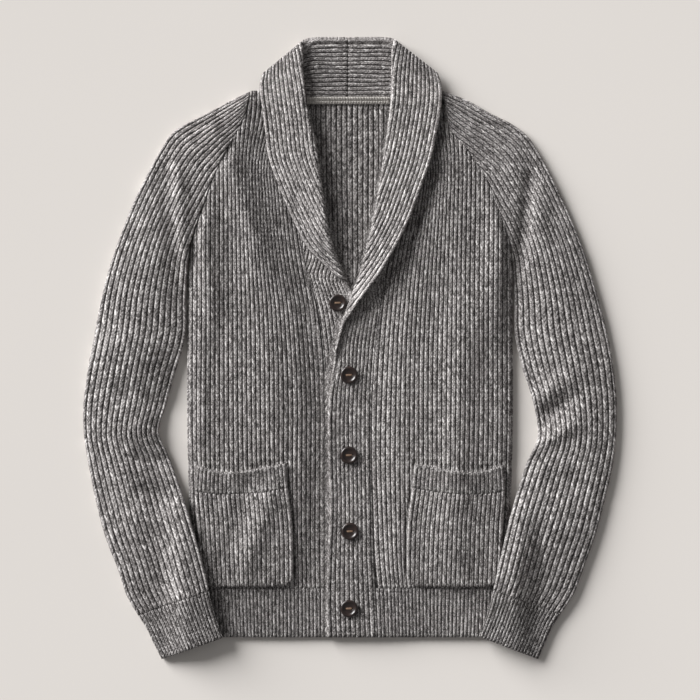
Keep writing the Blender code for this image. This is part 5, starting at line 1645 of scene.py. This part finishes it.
@dataclass
class Pockets:
    """A patch pocket on each front, with a ribbed band along its mouth.

    inner and outer give an edge's half width at each height, and mouth_top and mouth_foot give the mouth
    band's ends at each half width.
    """

    patch: Knit = POCKET_KNIT
    band: Knit = POCKET_BAND_KNIT
    inner: Table = (
        (-322.0, 75.8), (-296.0, 75.8), (-232.0, 77.5), (-188.0, 83.0), (-156.0, 86.5),
    )
    outer: Table = (
        (-322.0, 202.5), (-296.0, 204.0), (-232.0, 207.0), (-188.0, 209.5), (-156.0, 206.5),
    )
    mouth_top: Table = (
        (86.0, -155.5), (117.0, -161.0), (152.0, -166.5), (176.0, -166.0), (207.0, -158.0),
    )
    mouth_foot: Table = (
        (83.0, -187.5), (111.0, -193.0), (144.0, -196.0), (172.0, -197.0), (210.0, -192.5),
    )
    foot_y: float = -322.0
    middle_y: float = -232.0
    mouth_y: float = -188.0
    corner: float = 19.0
    level: float = BODY_LEVEL + BODY_KNIT.wall + BODY_KNIT.relief + CLEAR
    mouth_gap: float = 1.4  # how far the mouth stands off the front
    rim_bead: float = 1.2
    rim_dent: float = 1.2
    rib_run: float = 3.4  # over which the ribs rise inside the plain rim
    sway_share: float = 0.6

    @staticmethod
    def along(at: Array | float, table: Table) -> Array:
        """A table's curve."""
        return curve(at, *zip(*table))

    def width(self, y: Array | float) -> Array:
        """A pocket's width at a height."""
        return self.along(y, self.outer) - self.along(y, self.inner)

    def half(self, y: Array | float, place: Array) -> Array:
        """Half width at a share of the way from the inner edge to the outer one."""
        return self.along(y, self.inner) + place * self.width(y)

    def wall(self, name: str, side: Side, knit: Knit, on_band: bool) -> Shell:
        """A pocket's patch, or the band at its mouth."""
        count = round(float(self.width(self.middle_y)) / knit.pitch)
        ribs = rib_columns(knit, count)
        place = ribs / count
        near = self.half(self.mouth_y, place)
        if on_band:
            upper, foot = self.along(near, self.mouth_top), self.along(near, self.mouth_foot)
        else:
            upper = self.along(near, self.mouth_foot)
            bite = np.clip(self.corner - np.minimum(place, 1 - place) * self.width(self.foot_y), 0, None)
            foot = self.foot_y + self.corner - np.sqrt(self.corner**2 - bite**2)
        grid = courses(knit, ribs, foot.min() / knit.stitch, upper.max() / knit.stitch)
        y, keep = trimmed(grid * knit.stitch, foot, upper, knit.stitch * ROW_STEP)
        half = self.half(y, place)
        stitches = y / knit.stitch
        edge = np.minimum(ribs, count - ribs) * knit.pitch
        height = raised(knit, ribs, stitches, 17.0 + side.value)
        rim = np.minimum(edge + 0 * y, upper - y if on_band else y - foot)
        plain = 2.6 if on_band else 0.6
        height = height * between(rim, plain, plain + self.rib_run) + self.rim_bead * bell(rim - 2.4, 1.8)
        height = height - pinch(rim, self.rim_dent, 1.6)
        height = height - pinch(y - foot if on_band else upper - y, 0.4, 1.6)
        sway = side.value * self.sway_share * drift(side.value * half, y) * between(edge, 0.0, 10.0)
        level = self.level + lie(side.value * half, y)
        if on_band:
            level = level + self.mouth_gap * between(y, foot, upper + 8)
        points = knit_points(ribs + 0 * y, stitches, 1.0)
        kept = sorted({*range(0, len(ribs), knit.columns), len(ribs) - 1})
        outer = plan_points(side.value * half + side.value * sway, y, level + knit.wall + height)
        inner = plan_points(side.value * half, y, level)
        return Shell(name, outer, inner, points, points * (1, 1, 0), kept, keep)

    def build(self, wool: Material, rib: Material) -> None:
        """Makes both pockets and their bands."""
        for side in Side:
            for node, knit, on_band, finish in (
                (f"pocket_{side.word}", self.patch, False, wool),
                (f"pocket_band_{side.word}", self.band, True, rib),
            ):
                lay(self.wall(f"{node}_knit", side, knit, on_band), node, finish)


# Buttons


class Button(NamedTuple):
    """A button's centre and the level it lies at."""

    x: float
    y: float
    level: float


@dataclass
class Buttons:
    """Five horn buttons with a raised rim, each sewn on through two holes with a bar of thread."""

    radius: float = 11.8
    height: float = 4.2
    hole_reach: float = 4.0  # from the middle to a hole's middle
    hole_radius: float = 1.25
    hole_depth: float = 1.5
    thread_radius: float = 0.55
    thread_steps: int = 14
    thread_sides: int = 8
    thread_level: float = 0.54  # of the button's height
    thread_arch: float = 0.9
    segments: int = 72
    bowl_rows: int = 7  # of the profile, inside the rim
    bowl_rings: int = 18
    profile: Table = (  # shares of the radius and of the height
        (0.0, 0.52), (0.1, 0.52), (0.2, 0.53), (0.3, 0.54), (0.4, 0.56), (0.5, 0.6), (0.58, 0.67),
        (0.65, 0.8), (0.71, 0.94), (0.77, 1.0), (0.85, 0.99), (0.91, 0.93), (0.96, 0.82), (0.99, 0.68),
        (1.0, 0.52), (0.985, 0.36), (0.93, 0.2), (0.82, 0.08), (0.6, 0.0), (0.0, 0.0),
    )
    under_top: float = UNDER_LEVEL + BAND_KNIT.wall + BAND_KNIT.relief + 0.3
    over_top: float = OVER_LEVEL + BAND_KNIT.wall + BAND_KNIT.relief + 0.3

    def places(self) -> list[Button]:
        """The buttons from the collar down."""
        return [
            Button(-16.4, 60.8, self.under_top),
            Button(-1.3, -36.5, self.over_top),
            Button(-1.3, -144.5, self.over_top),
            Button(0.0, -247.0, self.over_top),
            Button(-1.3, -351.0, self.over_top),
        ]

    def disc(self, name: str, button: Button) -> Mesh:
        """The turned body with its two holes sunk."""
        bowl = self.profile[: self.bowl_rows]
        fine = np.linspace(0, 1, self.bowl_rings + 1)[1:] * bowl[-1][0]
        shares = [(float(share), float(np.interp(share, *zip(*bowl)))) for share in fine]
        shares += self.profile[self.bowl_rows : -1]
        angle = np.arange(self.segments) * 2 * math.pi / self.segments
        share, rise = np.array(shares).T
        x = self.radius * share[:, None] * np.cos(angle)
        y = self.radius * share[:, None] * np.sin(angle)
        z = self.height * rise[:, None] + 0 * x
        top = (share < 0.6)[:, None]
        for way in (-1, 1):
            off = np.hypot(x - way * self.hole_reach, y)
            outside = between(off, self.hole_radius * 0.6, self.hole_radius * 1.25)
            z = z - top * self.hole_depth * (1 - outside)
        rings = plan_points(button.x + x, button.y + y, button.level + z).reshape(-1, 3)
        ends = [
            (button.x, button.y, button.level + self.height * self.profile[0][1]),
            (button.x, button.y, button.level),
        ]
        at = np.arange(len(shares) * self.segments).reshape(len(shares), self.segments)
        at = np.concatenate([at, at[:, :1]], axis=1)
        faces = Shell.quads(at, True)
        faces += [(len(rings), at[0, i], at[0, i + 1]) for i in range(self.segments)]
        faces += [(len(rings) + 1, at[-1, i + 1], at[-1, i]) for i in range(self.segments)]
        return closed_mesh(name, np.concatenate([rings, ends]), [[int(i) for i in face] for face in faces])

    def bar(self, name: str, button: Button) -> Mesh:
        """Three strands of thread side by side from one hole to the other."""
        steps, sides, radius = self.thread_steps, self.thread_sides, self.thread_radius
        share = np.linspace(-1, 1, steps)
        points, faces = [], []
        for strand in (-1, 0, 1):
            middle_x = self.hole_reach * 1.12 * share
            middle_y = strand * radius * 1.5 * (0.55 + 0.45 * np.cos(share * math.pi / 2))
            lift = self.thread_arch * (1 - share**4) + 0.15 * (strand == 0) - self.thread_arch
            middle_z = self.height * self.thread_level + radius * 0.6 + lift
            angle = np.arange(sides) * 2 * math.pi / sides
            x = middle_x[:, None] + 0 * angle
            y = middle_y[:, None] + radius * np.cos(angle)
            z = middle_z[:, None] + radius * np.sin(angle)
            at = len(points) * steps * sides + np.arange(steps * sides).reshape(steps, sides)
            points.append(plan_points(button.x + x, button.y + y, button.level + z).reshape(-1, 3))
            closed = np.concatenate([at, at[:, :1]], axis=1)
            faces += Shell.quads(closed, False)
            faces += [tuple(at[0, ::-1].tolist()), tuple(at[-1].tolist())]
        return closed_mesh(name, np.concatenate(points), faces)

    def build(self, horn: Material, thread: Material) -> None:
        """Makes the buttons and their thread."""
        for number, button in enumerate(self.places(), start=1):
            node = f"button_{number}"
            stand_for(link(f"{node}_horn", self.disc(f"{node}_horn", button), horn), node)
            bar = link(f"{node}_thread", self.bar(f"{node}_thread", button), thread)
            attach(bar, "root")
            log.info("%s: disc and thread", node)


# Surface, light and camera


@dataclass
class Studio:
    """A pale surface under soft light from the upper left, seen straight from above, in metres."""

    floor_size: float = 6.0
    floor_drop: float = 0.0001  # how far the surface is below the cloth
    camera_height: float = 6.0
    frame_width: float = 0.945  # of the surface that the view takes in
    frame_middle: tuple[float, float] = (0.0, -0.0027)
    sensor: float = 36.0
    sky: float = 0.22
    sky_colour: Colour = (1.0, 0.99, 0.985)
    sun_rise: float = 21.5  # degrees above the surface
    sun_turn: float = 141.0  # degrees from the wearer's left, so from the upper left of the view
    sun_width: float = 40.0  # degrees, which sets how soft the shadows are
    sun_power: float = 6.75

    def floor(self, finish: Material) -> None:
        """The surface, a little below the cloth's underside."""
        half = self.floor_size / 2
        mesh = bpy.data.meshes.new("floor")
        corners = [(x * half, y * half, -self.floor_drop) for x, y in ((-1, -1), (1, -1), (1, 1), (-1, 1))]
        mesh.from_pydata(corners, [], [(0, 1, 2, 3)])
        link("floor", mesh, finish)

    def light(self) -> None:
        """An even sky and one wide soft sun."""
        world = bpy.data.worlds.new("studio")
        bpy.context.scene.world = world
        world.use_nodes = True
        background = world.node_tree.nodes["Background"]
        background.inputs["Color"].default_value = (*self.sky_colour, 1)
        background.inputs["Strength"].default_value = self.sky
        lamp = bpy.data.lights.new("sun", "SUN")
        lamp.energy, lamp.angle = self.sun_power, math.radians(self.sun_width)
        key = bpy.data.objects.new("sun", lamp)
        rise, turn = math.radians(self.sun_rise), math.radians(self.sun_turn)
        way = Vector((math.cos(rise) * math.cos(turn), math.cos(rise) * math.sin(turn), math.sin(rise)))
        key.rotation_mode = "QUATERNION"
        key.rotation_quaternion = (-way).to_track_quat("-Z", "Y")
        bpy.context.scene.collection.objects.link(key)

    def camera(self) -> None:
        """A long lens straight above."""
        data = bpy.data.cameras.new("camera")
        data.sensor_width = self.sensor
        data.lens = self.sensor * self.camera_height / self.frame_width
        data.clip_end = 100.0
        camera = bpy.data.objects.new("camera", data)
        camera.location = (*self.frame_middle, self.camera_height)
        bpy.context.scene.collection.objects.link(camera)
        bpy.context.scene.camera = camera

    def build(self, finish: Material) -> None:
        """Sets up surface, light and camera."""
        self.floor(finish)
        self.light()
        self.camera()
        bpy.context.scene.view_settings.view_transform = "Standard"


def main() -> None:
    """Builds the dressed cardigan and the studio."""
    logging.basicConfig(level=logging.INFO, format="%(message)s")
    wool = MarledWool("marled_wool").material()
    sleeve_wool = MarledWool("marled_wool_sleeve", shade=1.1).material()
    rib = MarledWool("marled_wool_rib", shade=0.87).material()
    # painted light: the bands are a lighter copy of the wool, standing in for the light that the lapels
    # catch, and are painted darker again below the collar's break
    band_wool_painted_light = MarledWool("marled_wool_band_painted_light", shade=1.22, low=0.8).material()
    stand_wool = MarledWool("marled_wool_collar", contrast=0.8).material()
    Studio().build(Paper().material())
    Back().build(wool, rib)
    Fronts().build(wool, rib)
    Sleeves().build(sleeve_wool, rib)
    Bands().build(band_wool_painted_light)
    CollarBack().build(stand_wool)
    NeckTape().build(Tape().material())
    Pockets().build(wool, rib)
    Buttons().build(Horn().material(), SewingThread().material())


if __name__ == "__main__":
    main()
